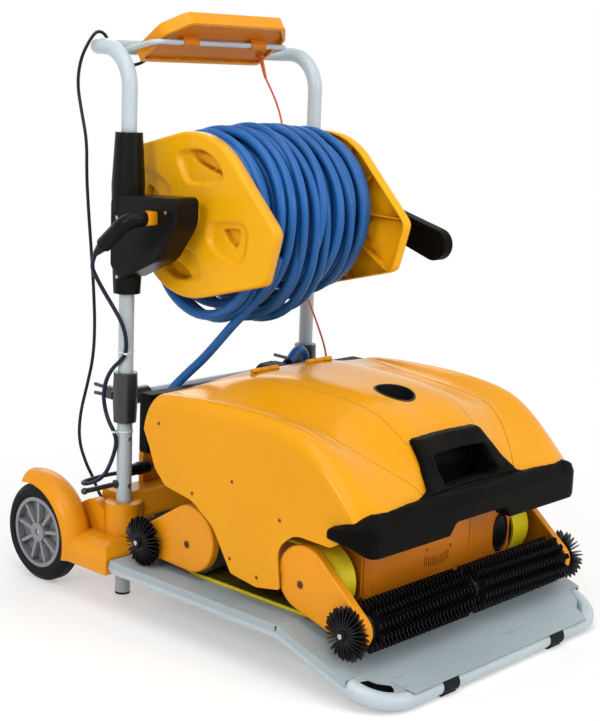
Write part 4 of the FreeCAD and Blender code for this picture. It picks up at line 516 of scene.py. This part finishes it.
def coilPoints(c):  # turns that wind clockwise, drifting in or out to the next one
    spots = []
    midX, midY = c["coilMiddle"]
    count, turns = c["perTurn"], c["turns"]
    for i, (radius, height) in enumerate(turns):
        last = i == len(turns) - 1
        nextRadius, nextHeight = turns[i] if last else turns[i + 1]
        for k in range(round(count * c["lastTurn"]) + 1 if last else count):
            share = max(0.0, (k / count - c["driftFrom"]) / (1 - c["driftFrom"]))
            r = radius + (nextRadius - radius) * share
            z = height + (nextHeight - height) * share
            a = math.pi - 2 * math.pi * k / count
            spots.append((midX + r * math.cos(a), midY + r * math.sin(a), z))
    return spots


def buildCord(c):
    route = c["route"] + (coilPoints(c) + c["tail"] if "turns" in c else [])
    line = cover(softLine(c["name"], route, c["diameter"]), c["finish"], "root")
    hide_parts(*c["stands"])
    length = lineLength(route)
    print(c["name"], "is", round(length, 3), "m long")


for cordRow in (mainCable, reelLead, controlCord, mainsCord):
    buildCord(cordRow)
print("cords are laid")


# Cable on the reel: a close inner layer and loose outer turns, some of which hang
winding = {
    "cable": 0.021, "middleY": -122, "middleZ": 890, "halfWidth": 186, "crown": 7.0,
    "ripples": [(3, 2, 3), (2, 3, 7)],  # height, waves in a turn, push by the lean
    "leanSag": 0.12, "leanWaves": 5, "crownAt": -30, "crownHalf": 130, "perTurn": 14, "driftFrom": 0.7,
    "innerRadius": 156, "innerTurns": 17, "innerRipple": 2, "innerWaves": 0.37,
    "outer": [  # across, radius, sideways wander, where it wanders, sag below, lean
        (-184, 172, 4, 0.4, 62, 0.3), (-170, 183, 8, 2.0, 52, 1.1), (-151, 174, 10, 4.1, 66, 0.7),
        (-132, 188, 12, 1.2, 22, 2.0), (-110, 177, 12, 5.2, 10, 0.1), (-90, 190, 18, 2.6, 30, 1.4),
        (-67, 179, 12, 0.2, 58, 2.6), (-45, 191, 20, 3.7, 40, 0.8), (-22, 180, 12, 5.9, 70, 1.8),
        (2, 190, 18, 1.8, 20, 2.4), (26, 179, 14, 4.6, 52, 0.5), (48, 191, 20, 0.9, 12, 1.2),
        (72, 180, 12, 3.0, 26, 2.1), (95, 189, 18, 5.4, 8, 0.9), (118, 178, 12, 2.2, 14, 1.5),
        (140, 187, 12, 0.6, 6, 0.4), (161, 177, 8, 3.9, 8, 1.0), (180, 168, 4, 1.0, 4, 0.2)],
}


def turnPoint(w, x, radius, angle, sag, lean):  # angle runs from straight up, over the front
    rad = radius + sum(h * math.sin(waves * angle + lean * push) for h, waves, push in w["ripples"])
    rad += w["crown"] * max(0.0, 1 - ((x - w["crownAt"]) / w["crownHalf"]) ** 2)
    rad += sag * max(0.0, -math.cos(angle + w["leanSag"] * math.sin(lean * w["leanWaves"]))) ** 2
    return tuple(at(x, w["middleY"] - rad * math.sin(angle), w["middleZ"] + rad * math.cos(angle)))


def buildWinding(w):
    half, perTurn, rows = w["halfWidth"], w["perTurn"], w["outer"]
    inner = []
    total = w["innerTurns"] * perTurn
    for i in range(total + 1):
        x = -half + 2 * half * i / total
        radius = w["innerRadius"] + w["innerRipple"] * math.sin(i * w["innerWaves"])
        inner.append(turnPoint(w, x, radius, 2 * math.pi * i / perTurn, 0, 0))
    outer = []
    for i, (x, radius, wander, phase, sag, lean) in enumerate(rows):
        nextX, nextRadius = rows[min(i + 1, len(rows) - 1)][:2]
        for k in range(perTurn):
            share = k / perTurn
            angle = 2 * math.pi * share
            step = max(0.0, (share - w["driftFrom"]) / (1 - w["driftFrom"]))
            sideways = wander * math.sin(angle + phase) * math.sin(math.pi * share) ** 0.5
            across = clamp(x + (nextX - x) * step + sideways, -half, half)
            outer.append(turnPoint(w, across, radius + (nextRadius - radius) * step, angle, sag, lean))
    cover(asMesh(softLine("innerTurns", inner, w["cable"], 4)), "cableBlue", "reel")
    loose = cover(asMesh(softLine("outerTurns", outer, w["cable"], 5)), "cableBlue", "reel")
    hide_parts("cable_winding")


buildWinding(winding)
print("cable is wound on the reel")


# Mesh helpers; a build function fills a bmesh
def meshPiece(name, build, finishName, body, smooth=0.6):
    bm = bmesh.new()
    build(bm)
    mesh = bpy.data.meshes.new(name)
    bmesh.ops.recalc_face_normals(bm, faces=bm.faces)
    bm.to_mesh(mesh)
    bm.free()
    for face in mesh.polygons:
        face.use_smooth = True
    mesh.set_sharp_from_angle(angle=smooth)
    return cover(linked(name, mesh), finishName, body)


def addSolid(bm, rings, cap=True):  # a closed form from a stack of rings with equal counts
    loops = [[bm.verts.new(p) for p in ring] for ring in rings]
    count = len(loops[0])
    for a, b in zip(loops, loops[1:]):
        for i in range(count):
            bm.faces.new((a[i], a[(i + 1) % count], b[(i + 1) % count], b[i]))
    if cap:
        bm.faces.new(list(reversed(loops[0])))
        bm.faces.new(loops[-1])


def softBox(bm, corner, edges, edgeRound, steps=2):  # a block from a corner and three edge vectors
    a, b, c = edges
    spots = [corner, corner + a, corner + a + b, corner + b]
    low = [bm.verts.new(p) for p in spots]
    high = [bm.verts.new(p + c) for p in spots]
    faces = [bm.faces.new(list(reversed(low))), bm.faces.new(high)]
    for i in range(4):
        faces.append(bm.faces.new((low[i], low[(i + 1) % 4], high[(i + 1) % 4], high[i])))
    rims = {e for f in faces for e in f.edges}
    bmesh.ops.bevel(bm, geom=list(rims), offset=edgeRound, segments=steps, profile=0.5, affect="EDGES")


def plainBox(bm, corner, size, edgeRound, steps):  # the same along the axes, in millimetres
    edges = [Vector([size[i] / 1000 if i == k else 0 for i in range(3)]) for k in range(3)]
    softBox(bm, at(*corner), edges, edgeRound, steps)


def spun(bm, centre, axis, profile, count=24):  # (along, radius) pairs in millimetres about any axis
    axis = Vector(axis).normalized()
    first = axis.orthogonal().normalized()
    second = axis.cross(first)
    turns = [2 * math.pi * i / count for i in range(count)]
    addSolid(bm, [[centre + axis * along / 1000
                   + (first * math.cos(a) + second * math.sin(a)) * radius / 1000 for a in turns]
                  for along, radius in profile])


def spunBothSides(bm, x, y, z, profile, count):  # the same on the left and on the right
    for sign in (-1, 1):
        spun(bm, at(sign * x, y, z), (sign, 0, 0), profile, count)


def domeScrew(bm, centre, axis, radius, height):  # a low dome with a small recess
    spun(bm, centre, axis, [(-0.6, radius * 0.98), (0.1, radius), (height * 0.45, radius * 0.93),
                            (height * 0.85, radius * 0.62), (height, radius * 0.30),
                            (height * 0.55, radius * 0.24), (height * 0.5, radius * 0.02)], 20)


def polar(radius, degrees):
    return radius * math.cos(math.radians(degrees)), radius * math.sin(math.radians(degrees))


def spokeFrame(angle):  # outward and sideways directions about the X direction
    return Vector((0, math.cos(angle), math.sin(angle))), Vector((0, -math.sin(angle), math.cos(angle)))


# Roller brushes: rows of soft tabs on a core, and a spiked rosette outside each arm
roller = {
    "front": (-760, 141), "rear": (-154, 179),
    "core": 33, "bore": 5.4, "tip": 53, "inner": 4, "outer": 330, "rows": 12, "tabs": 27, "around": 40,
    "tabThick": 3.0, "tabRoot": 18.5, "tabTip": 10.0, "tabLean": 2.2, "tabWobble": 0.8, "tilt": 0.16,
    "sleeve": 12.9, "rosetteIn": 359.5, "rosetteOut": 388, "hub": 21,
    "spikes": 30, "spikeTip": 58, "spikeTurn": 0.03, "spikeShort": (0.2, 2.5),
    "spikeBend": 1.6, "bendOver": 30,
}


def rollerCore(r):  # the tube's and the rosette hub's outline, as x and radius
    inner, outer, core, hub = r["inner"], r["outer"], r["core"], r["hub"]
    return [(inner, r["bore"]), (inner, core - 2), (inner + 2, core), (outer - 2, core), (outer, core - 2),
            (outer + 1, r["sleeve"]), (r["rosetteIn"], r["sleeve"]), (r["rosetteIn"], hub),
            (r["rosetteIn"] + 22, hub + 3), (r["rosetteOut"] - 3, hub - 4), (r["rosetteOut"], hub - 10),
            (r["rosetteOut"], r["bore"])]


def addTab(bm, centre, angle, r, lean, wobble):
    out, side = spokeFrame(angle)
    levels = []
    for rad, wide, thick, shift in (  # root, middle and tip
            (r["core"] - 1.5, r["tabRoot"], r["tabThick"], 0.0),
            ((r["core"] + r["tip"]) / 2, (r["tabRoot"] + r["tabTip"]) / 2, r["tabThick"] * 0.8,
             lean * 0.4 + wobble * 0.5),
            (r["tip"] - 0.6, r["tabTip"], r["tabThick"] * 0.5, lean + wobble)):
        base = centre + out * rad / 1000 + Vector((shift / 1000, 0, 0))
        half = side * wide / 2000
        across = Vector((thick / 2000, 0, 0))
        levels.append([base + half + across, base - half + across,
                       base - half - across, base + half - across])
    addSolid(bm, levels)


def addSpike(bm, middle, angle, r, sign, tip, bend):
    out, side = spokeFrame(angle)
    near, far = r["rosetteIn"] + 0.5, r["rosetteOut"] - 1.5
    levels = []  # each a distance out, a start and an end along the axle, and a thickness
    for rad, x0, x1, thick in ((r["hub"] - 6, near, far, 2.6), (r["hub"] + 12, near, far - 1, 2.2),
                               (tip - 9, near + 5, far - 4, 1.6), (tip, near + 12, near + 15, 0.7)):
        push = bend * (max(0, rad - r["hub"]) / r["bendOver"]) ** 2
        base = middle + out * rad / 1000 + side * push / 1000
        half = side * thick / 2000
        first, last = Vector((sign * x0 / 1000, 0, 0)), Vector((sign * x1 / 1000, 0, 0))
        levels.append([base + half + first, base - half + first, base - half + last, base + half + last])
    addSolid(bm, levels)


def buildRoller(r, place, side):
    y, z = r[place]
    sign = -1 if side == "left" else 1
    rng = random.Random(len(place) * 7 + len(side))

    def build(bm):
        turns = [2 * math.pi * i / r["around"] for i in range(r["around"])]
        rings = [[at(sign * x, y + rad * math.cos(a), z + rad * math.sin(a)) for a in turns]
                 for x, rad in rollerCore(r)]
        addSolid(bm, rings + [rings[0]], False)
        pitch = (r["outer"] - r["inner"] - 8) / r["tabs"]
        for row in range(r["rows"]):
            for i in range(r["tabs"]):
                x = r["inner"] + 6 + (i + 0.25 + 0.5 * (row % 2)) * pitch
                angle = 2 * math.pi * row / r["rows"] + r["tilt"] * x / r["outer"]
                wobble = rng.uniform(-r["tabWobble"], r["tabWobble"])
                addTab(bm, at(sign * x, y, z), angle, r, sign * r["tabLean"], wobble)
        for i in range(r["spikes"]):
            angle = 2 * math.pi * i / r["spikes"] + rng.uniform(-r["spikeTurn"], r["spikeTurn"])
            tip = r["spikeTip"] - rng.uniform(*r["spikeShort"])
            bend = rng.uniform(-r["spikeBend"], r["spikeBend"])
            addSpike(bm, at(0, y, z), angle, r, sign, tip, bend)

    piece = meshPiece(f"{place}{side.title()}Bristles", build, "bristle", f"{place}_{side}_roller",
                      0.5)
    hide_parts(f"{place}_{side}_brush")


for placeName in ("front", "rear"):
    for sideName in ("left", "right"):
        buildRoller(roller, placeName, sideName)
print("brushes are bristled")


# Power supply: steel saddles and rim screws, in its own tilted directions
supply = {
    "lowY": 96.5, "lowZ": 1219, "tilt": 146, "saddleX": (-108, 108), "saddleUp": 70,
    "plate": (50, 12, 1.4), "plateOut": 5.8, "foot": (17, 9, 4.2), "footOut": 4.2,
    "feetAt": (-23, 6), "plateEdge": 0.0005, "footEdge": 0.0012,
    "screws": [(-172, 12), (-60, 9), (60, 9), (168, 96), (-172, 96), (-96, 150), (90, 150)],
    "screwSize": (3.0, 1.6), "saddleScrews": (-15, 15), "saddleScrewUp": 76, "saddleScrewSize": (2.6, 1.5),
}


def supplyAt(s, x, up, out):
    ahead, rise = polar(1, s["tilt"])
    return at(x, s["lowY"] + up * ahead + out * rise, s["lowZ"] + up * rise - out * ahead)


def buildSupplyTrim(s):
    upward = supplyAt(s, 0, 1, 0) - supplyAt(s, 0, 0, 0)
    outward = supplyAt(s, 0, 0, 1) - supplyAt(s, 0, 0, 0)

    def slab(bm, x, up, out, size, edgeRound):
        wide, high, thick = size
        edges = (Vector((wide / 1000, 0, 0)), upward * high, outward * -thick)
        softBox(bm, supplyAt(s, x, up, out), edges, edgeRound)

    def plates(bm):
        low, half = s["saddleUp"], s["plate"][0] / 2
        for x in s["saddleX"]:
            slab(bm, x - half, low, s["plateOut"], s["plate"], s["plateEdge"])
            for shift in s["feetAt"]:
                slab(bm, x + shift, low + 1, s["footOut"], s["foot"], s["footEdge"])

    def heads(bm):
        for x, up in s["screws"]:
            domeScrew(bm, supplyAt(s, x, up, -0.1), -outward, *s["screwSize"])
        for x in s["saddleX"]:
            for shift in s["saddleScrews"]:
                spot = supplyAt(s, x + shift, s["saddleScrewUp"], -0.2)
                domeScrew(bm, spot, -outward, *s["saddleScrewSize"])

    meshPiece("saddlePlates", plates, "plateGrey", "root")
    meshPiece("supplyScrews", heads, "steel", "root")


buildSupplyTrim(supply)


# Brush axle ends: a black cap with a steel screw over each shaft end
axleEnds = {"spots": {"front": (-760, 141), "rear": (-154, 179)}, "inner": 388.3, "screwAt": 395.1,
            "cap": [(0, 12.4), (4.6, 12.4), (6.6, 10.0), (7, 6), (7, 0.1)], "screwSize": (5.5, 1.6)}


def buildAxleEnds(a):
    for place, (y, z) in a["spots"].items():
        def caps(bm):
            spunBothSides(bm, a["inner"], y, z, a["cap"], 32)

        def heads(bm):
            for sign in (-1, 1):
                domeScrew(bm, at(sign * a["screwAt"], y, z), (sign, 0, 0), *a["screwSize"])

        meshPiece(f"{place}AxleCaps", caps, "blackSatin", f"{place}_carrier")
        meshPiece(f"{place}AxleScrews", heads, "steel", f"{place}_carrier")


buildAxleEnds(axleEnds)
print("supply and axle trim is on")


# Reel flanges: the solids' outline, with soft hollows, ribs behind and a rounded rim
flange = {
    "middleY": -122, "middleZ": 890, "tilt": 196.0, "endReach": 260.2, "sideReach": 183.6, "sideTurn": 59.6,
    "corner": 43, "outer": 228.6, "inner": 199.0, "wall": 4.0, "hub": 34.0, "bore": 12.2, "hubOuter": 234.8,
    "around": 300, "faceRows": 72, "backRows": 24, "rib": 3.0, "ribs": 12, "ribSteps": 24,
    "weld": 0.000002, "power": 12,
    "hollows": [  # corners as angle and radius, depth, width of the soft wall
        ([(69, 143), (75, 150), (96, 152), (117, 157), (138, 152), (143, 141),
          (140, 113), (106, 67), (77, 71), (69, 103)], 9.0, 0.30),
        ([(85, 140), (93, 150), (106, 155), (124, 153), (137, 146),
          (138, 135), (124, 118), (102, 114), (90, 126)], 13.0, 0.42),
        ([(187, 57), (178, 116), (178, 170), (184, 192), (196, 198), (207, 198),
          (214, 178), (222, 125), (226, 83), (214, 58)], 9.0, 0.30),
        ([(191, 95), (185, 138), (186, 157), (198, 160),
          (203, 155), (202, 130)], 13.0, 0.45)],
}


def rimReach(f, angle):  # from the axle to the rim
    turn = abs((angle - f["tilt"] + 90) % 180 - 90)
    end = f["endReach"] / max(0.02, math.cos(math.radians(turn)))
    side = f["sideReach"] / math.cos(math.radians(max(0.0, f["sideTurn"] - turn)))
    return (end ** -f["corner"] + side ** -f["corner"]) ** (-1 / f["corner"])


def hollowEdges(corners):  # the centre and each edge's outward direction over its distance
    spots = [polar(r, a) for a, r in corners]
    middle = [sum(p[i] for p in spots) / len(spots) for i in (0, 1)]
    edges = []
    for (y0, z0), (y1, z1) in zip(spots, spots[1:] + spots[:1]):
        ny, nz = z1 - z0, y0 - y1
        reach = ny * (y0 - middle[0]) + nz * (z0 - middle[1])
        edges.append((ny / reach, nz / reach))
    return middle, edges


def hollowDepth(f, hollows, y, z):  # how deep the face lies there, both halves alike
    depth, power = 0.0, f["power"]
    for (middle, edges), deep, soft in hollows:
        for side in (1, -1):
            dy, dz = y * side - middle[0], z * side - middle[1]
            far = sum(max(0.0, ny * dy + nz * dz) ** power for ny, nz in edges) ** (1 / power)
            share = clamp((1 - far) / soft)
            depth += deep * share * share * (3 - 2 * share)
    return depth


def flangeRings(f, hollows, sign):  # from the bore over the outer face and the rim, then back inside
    turns = [360 * i / f["around"] for i in range(f["around"])]
    reaches = [rimReach(f, turn) for turn in turns]

    def ring(radii, depths):
        spots = [polar(r, turn) for r, turn in zip(radii, turns)]
        return [at(sign * x, f["middleY"] + y, f["middleZ"] + z) for (y, z), x in zip(spots, depths)]

    def level(radius, x):
        return ring([radius] * len(turns), [x] * len(turns))

    def rim(back, x):
        return ring([r - back for r in reaches], [x] * len(turns))

    def sheet(share, edge, face):
        radii = [f["hub"] + (r - edge - f["hub"]) * share for r in reaches]
        return ring(radii, [face - hollowDepth(f, hollows, *polar(r, turn)) for turn, r in zip(turns, radii)])

    outer, inner, wall, hub, bore = (f[k] for k in ("outer", "inner", "wall", "hub", "bore"))
    faceRows, backRows = f["faceRows"], f["backRows"]
    return [
        level(bore, inner), level(bore, f["hubOuter"]), level(hub - 2, f["hubOuter"]),
        level(hub, f["hubOuter"] - 2), level(hub, outer + 1.5),
        *[sheet(i / faceRows, 6, outer) for i in range(1, faceRows + 1)],
        rim(2.8, outer - 0.8), rim(0.8, outer - 2.8), rim(0, outer - 6), rim(0, inner + 1),
        rim(0.8, inner), rim(wall, inner), rim(wall, outer - wall - 3),
        *[sheet(i / backRows, 8, outer - wall) for i in range(backRows, 0, -1)],
        level(hub, outer - wall - 1), level(hub, inner), level(bore, inner)]


def ribRings(f, hollows, sign, turn):  # one rib behind the face, which follows the hollows
    length = rimReach(f, turn) - f["wall"] + 1 - f["hub"]
    low, half = f["inner"] + 3, f["rib"] / 2
    aside = polar(1, turn + 90)
    rings = []
    for k in range(f["ribSteps"] + 1):
        y, z = polar(f["hub"] - 1 + length * k / f["ribSteps"], turn)
        high = max(low + 1, f["outer"] - f["wall"] + 1 - hollowDepth(f, hollows, y, z))
        rings.append([at(sign * x, f["middleY"] + y + off * aside[0], f["middleZ"] + z + off * aside[1])
                      for x, off in ((low, -half), (low, half), (high, half), (high, -half))])
    return rings


def buildFlanges(f):
    hollows = [(hollowEdges(corners), deep, soft) for corners, deep, soft in f["hollows"]]

    def build(bm):
        for sign in (-1, 1):
            addSolid(bm, flangeRings(f, hollows, sign), False)
        bmesh.ops.remove_doubles(bm, verts=bm.verts, dist=f["weld"])
        for sign in (-1, 1):
            for i in range(f["ribs"]):
                addSolid(bm, ribRings(f, hollows, sign, f["tilt"] + 360 * (i + 0.5) / f["ribs"]))

    piece = meshPiece("reelFlanges", build, "flangeAmber", "reel", 1.3)
    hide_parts("reel_flanges")


buildFlanges(flange)
print("reel flanges are moulded")


# Belt teeth: fine ribs across the inner face of each belt, coloured a dark olive that paints the shade inside
# the belt
teeth = {"inner": 274, "outer": 329, "radius": 76, "wall": 6, "thick": 3.2, "front": -616, "rear": -279,
         "height": 199.1, "pitch": 8.4, "length": 3.6, "sunk": 0.4, "edge": 0.0005}


def beltSpot(t, s, drop):  # a point and heading on the belt's loop, a drop inside its outer face
    straight = t["rear"] - t["front"]
    arc = math.pi * t["radius"]
    rad = t["radius"] - drop
    if s < straight:
        return t["rear"] - s, t["height"] + rad, (-1, 0)
    s -= straight
    if s < arc:
        a = math.pi / 2 + s / t["radius"]
        return t["front"] + rad * math.cos(a), t["height"] + rad * math.sin(a), (-math.sin(a), math.cos(a))
    s -= arc
    if s < straight:
        return t["front"] + s, t["height"] - rad, (1, 0)
    a = -math.pi / 2 + (s - straight) / t["radius"]
    return t["rear"] + rad * math.cos(a), t["height"] + rad * math.sin(a), (-math.sin(a), math.cos(a))


def buildTeeth(t):
    lap = 2 * (t["rear"] - t["front"]) + 2 * math.pi * t["radius"]
    count = round(lap / t["pitch"])

    def build(bm):
        for sign in (-1, 1):
            across = Vector((sign * (t["outer"] - t["inner"]) / 1000, 0, 0))
            for i in range(count):
                y, z, (dy, dz) = beltSpot(t, lap * i / count, t["wall"] - t["sunk"])
                along = Vector((0, dy, dz)) * t["length"] / 1000
                inward = Vector((0, -dz, dy)) * t["thick"] / 1000
                softBox(bm, at(sign * t["inner"], y, z) - along / 2, (across, along, inward), t["edge"], 1)

    meshPiece("beltTeeth", build, "toothShade", "root")


buildTeeth(teeth)
print("belts have their teeth")


# Side covers and arms: recessed screws and the wells over the hub axles, their dark brown a painted shade
wells = {
    "face": 365.0, "spots": [(-190, 452), (-420, 372), (-560, 322), (-300, 320), (-500, 185), (-420, 205)],
    "dish": [(-2, 6.4), (0.05, 6.4), (0.35, 5.6), (0.1, 4.9), (-0.55, 4.3), (-0.55, 0.1)],
    "head": [(-1.05, 3.3), (-0.25, 3.3), (-0.05, 2.6), (-0.05, 1.1), (-0.45, 0.8), (-0.45, 0.05)],
    "armFace": 357.0, "hubs": {"front": -616, "rear": -279}, "hubHeight": 199.1,
    "ring": [(-3, 10.6), (0.1, 10.6), (0.5, 9.6), (-0.2, 8.6), (-0.2, 0.1)],
    "hollow": [(-1.2, 8.4), (-0.05, 8.4), (0.0, 5.2), (0.7, 4.6), (0.7, 0.1)],
}


def buildWells(w):
    def onCovers(profile, count):
        def build(bm):
            for y, z in w["spots"]:
                spunBothSides(bm, w["face"], y, z, profile, count)
        return build

    def onArms(y, profile):
        return lambda bm: spunBothSides(bm, w["armFace"], y, w["hubHeight"], profile, 32)

    meshPiece("coverDishes", onCovers(w["dish"], 28), "coverAmber", "root")
    meshPiece("coverScrews", onCovers(w["head"], 20), "wellShade", "root")
    for place, y in w["hubs"].items():
        body = f"{place}_carrier"
        meshPiece(f"{place}HubRings", onArms(y, w["ring"]), "mouldOrange", body)
        meshPiece(f"{place}HubWells", onArms(y, w["hollow"]), "wellShade", body)


buildWells(wells)
print("covers and arms have their wells")


# Front bumper: the solid's form with its edges moulded soft, its ends drawn in and its band set higher
bumper = {
    "voxel": 0.0032, "rounds": 9,
    "endFrom": 318, "endTo": 398, "endIn": 12, "endBack": 14, "endZ": 302,  # the drawn-in ends
    "taper": 0.6, "backTaper": 0.42, "backFrom": -782, "backSpan": 66, "backSide": 330,
    "openHalf": 78, "openTo": 95, "bossHalf": 124, "bossFrom": 352, "bossSoft": 10,  # the grip opening
    "heldBehind": -752, "heldHalf": 104, "heldBelow": 428, "heldSoft": (10, 6, 20),  # stays unlifted
    "skinReach": 30, "skinHold": 0.6,
    "catchAt": (374, -752, 298), "catchSize": (26, 30, 24), "catchRound": 0.006,
    "lift": [(268, 292), (350, 378), (366, 387), (436, 443), (470, 482)],
    "skin": [  # the body's front lines: middle, valley, crest and side
        [(0, -602, 519), (260, -612, 483), (331, -614, 500), (365, -616, 465)],
        [(0, -648, 492), (236, -664, 456), (327, -670, 468), (365, -668, 436)],
        [(0, -690, 455), (200, -712, 425), (322, -722, 425), (365, -714, 400)],
        [(0, -732, 408), (166, -750, 394), (316, -764, 386), (365, -748, 370)],
        [(0, -768, 352), (144, -782, 352), (310, -790, 350), (365, -766, 350)]],
}


def readOff(points, value):  # a value read off a list of pairs
    value = clamp(value, points[0][0], points[-1][0])
    for (a, fromA), (b, toB) in zip(points, points[1:]):
        if value <= b:
            return fromA + (toB - fromA) * (value - a) / (b - a)
    return points[-1][1]


def skinY(b, x, z):  # how far forward the body's skin stands
    column = [(readOff([(p[0], p[2]) for p in line], abs(x)), readOff([(p[0], p[1]) for p in line], abs(x)))
              for line in reversed(b["skin"])]
    return readOff(column, z)


def softened(node, name, voxel, rounds):  # a copy of a node with its corners worn round
    piece = linked(name, nodes[node].data.copy())
    remesh = piece.modifiers.new("even", "REMESH")
    remesh.mode = "VOXEL"
    remesh.voxel_size = voxel
    ease = piece.modifiers.new("ease", "SMOOTH")
    ease.iterations = rounds
    view = bpy.context.evaluated_depsgraph_get()
    mesh = bpy.data.meshes.new_from_object(piece.evaluated_get(view))
    piece.modifiers.clear()
    piece.data = mesh
    for face in mesh.polygons:
        face.use_smooth = True
    return piece


def bumperSpot(b, x, y, z):  # where a point of the plain solid belongs, all in millimetres
    side = wide = abs(x)
    if z > b["bossFrom"] and side < b["bossHalf"]:
        spread = readOff([(0, 0), (b["openHalf"], b["openTo"]), (b["bossHalf"], b["bossHalf"])], side)
        wide = side + (spread - side) * min(1.0, (z - b["bossFrom"]) / b["bossSoft"])
    share = clamp((side - b["endFrom"]) / (b["endTo"] - b["endFrom"]))
    back = clamp((y - b["backFrom"]) / b["backSpan"]) if side > b["backSide"] else 0.0
    if share > 0 and z < b["bossFrom"]:
        keep = math.sqrt(1 - b["taper"] * share ** 2.4) \
            * (1 - b["backTaper"] * back ** 1.5 * min(1.0, share * 3))
        z = b["endZ"] + (z - b["endZ"]) * keep
    softY, softX, softZ = b["heldSoft"]
    held = clamp((y - b["heldBehind"]) / softY) * clamp((b["heldHalf"] - wide) / softX) \
        * clamp((b["heldBelow"] - z) / softZ)
    high = z + (readOff(b["lift"], z) - z) * (1 - held)
    ahead = clamp((skinY(b, x, z) - y) / b["skinReach"])
    follow = 1 if z > b["bossFrom"] else 1 - b["skinHold"] * ahead
    y += follow * (skinY(b, x, high) - skinY(b, x, z)) + b["endBack"] * share ** 3
    return math.copysign(wide - b["endIn"] * share, x), y, high


def buildBumper(b):
    piece = softened("front_bumper", "frontBumper", b["voxel"], b["rounds"])
    for v in piece.data.vertices:
        x, y, z = v.co
        v.co = at(*bumperSpot(b, x * 1000, (y - backShift) * 1000, z * 1000))
    cover(piece, "blackMatt", "root")
    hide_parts("front_bumper")
    meshPiece("bumperCatch", lambda bm: plainBox(bm, b["catchAt"], b["catchSize"], b["catchRound"], 3),
              "blackMatt", "root")


buildBumper(bumper)
print("front bumper is moulded")


# Tub front: a smooth panel between the belts with its vent slots and the dark opening beside it
tubFront = {
    "plan": [(-250, -693), (-238, -703), (-160, -705.5), (70, -705.5), (100, -701), (176, -701),
             (186, -696), (250, -694)],
    "back": -690.5, "thin": 0.5, "levels": [(296, 0), (176, 0), (162, 3), (156, 9)],
    "slots": 13, "slotPitch": 6.6, "slotX": -70, "slotY": -705.9, "slotLow": 196, "slotSize": (3, 2, 22),
    "slotArch": 5, "slotRound": 0.0007,
    "screws": [(-62, 232), (18, 226)], "screwY": -705.3, "screwSize": (3.2, 1.2),
    "openingAt": (212, -693, 212), "openingHalf": (27, 44),
    "openingRim": [(-2, 1.0), (5.5, 1.0), (6.2, 0.96), (5.6, 0.92), (3.4, 0.86), (3.4, 0.02)],  # out, size
}


def buildTubFront(t):
    def panel(bm):
        rear = t["back"] + t["thin"]
        plan = t["plan"]
        addSolid(bm, [[at(x, min(t["back"], y + back), z) for x, y in plan]
                      + [at(plan[-1][0], rear, z), at(plan[0][0], rear, z)] for z, back in t["levels"]])

    # the vent slots are dark blocks of painted shade standing on the panel's face
    def slots(bm):
        for i in range(t["slots"]):
            low = t["slotLow"] - t["slotArch"] * math.sin(math.pi * i / (t["slots"] - 1))
            plainBox(bm, (t["slotX"] + i * t["slotPitch"], t["slotY"], low), t["slotSize"], t["slotRound"], 1)

    def opening(bm):
        x0, y0, z0 = t["openingAt"]
        halfX, halfZ = t["openingHalf"]
        turns = [2 * math.pi * i / 40 for i in range(40)]
        addSolid(bm, [[at(x0 + halfX * size * math.cos(a), y0 - out, z0 + halfZ * size * math.sin(a))
                       for a in turns] for out, size in t["openingRim"]])

    def heads(bm):
        for x, z in t["screws"]:
            domeScrew(bm, at(x, t["screwY"], z), (0, -1, 0), *t["screwSize"])

    meshPiece("tubPanel", panel, "tubOrange", "root", 0.5)
    # slots and screw heads wear wellShade, a painted shade
    meshPiece("tubSlots", slots, "wellShade", "root")
    meshPiece("tubOpening", opening, "blackSatin", "root")
    meshPiece("tubScrews", heads, "wellShade", "root")


buildTubFront(tubFront)
print("tub has its front panel")


# Tray: its sheet runs on over the front tube to a plain edge, with dark discs below its corners that paint
# the shade seen in the corner gaps
trayLip = {
    "kinkY": -600, "kinkZ": 103, "frontY": -865, "frontZ": 20, "tube": 17.5, "thick": 2.3,
    "step": 1.6, "stepFrom": -800, "stepOver": 50,  # lies clear of the tray's own sheet
    "outline": [(-302, -881), (302, -881), (322, -832), (282, -800), (-282, -800), (-322, -832)],
    "shadeFeet": [(-322, -792, 12), (322, -792, 12)],
    "foot": [(0, 0.1), (0, 37), (3, 40), (10, 40), (12, 38), (12, 0.1)],
}


def buildTrayLip(t):
    fall = math.atan((t["kinkZ"] - t["frontZ"]) / (t["kinkY"] - t["frontY"]))
    along, normal = spokeFrame(fall)
    root = at(0, t["frontY"], t["frontZ"]) + (normal + along * math.tan(fall)) * t["tube"] / 1000

    def sheet(bm):
        rings = []
        for rise in (0.0, t["thick"]):
            rings.append([root + along * (y - t["frontY"]) / 1000 + Vector((x / 1000, 0, 0))
                          + normal * (rise + t["step"] * min(1.0, (t["stepFrom"] - y) / t["stepOver"])) / 1000
                          for x, y in t["outline"]])
        addSolid(bm, rings)

    # dark rubber discs that stand for the painted shade under the corner gaps
    def shadeFeet(bm):
        for spot in t["shadeFeet"]:
            spun(bm, at(*spot), (0, 0, 1), t["foot"], 36)

    meshPiece("trayFrontEdge", sheet, "trayGrey", "root", 0.3)
    meshPiece("cornerShadeFeet", shadeFeet, "rubber", "root")


buildTrayLip(trayLip)
print("tray reaches its front edge")
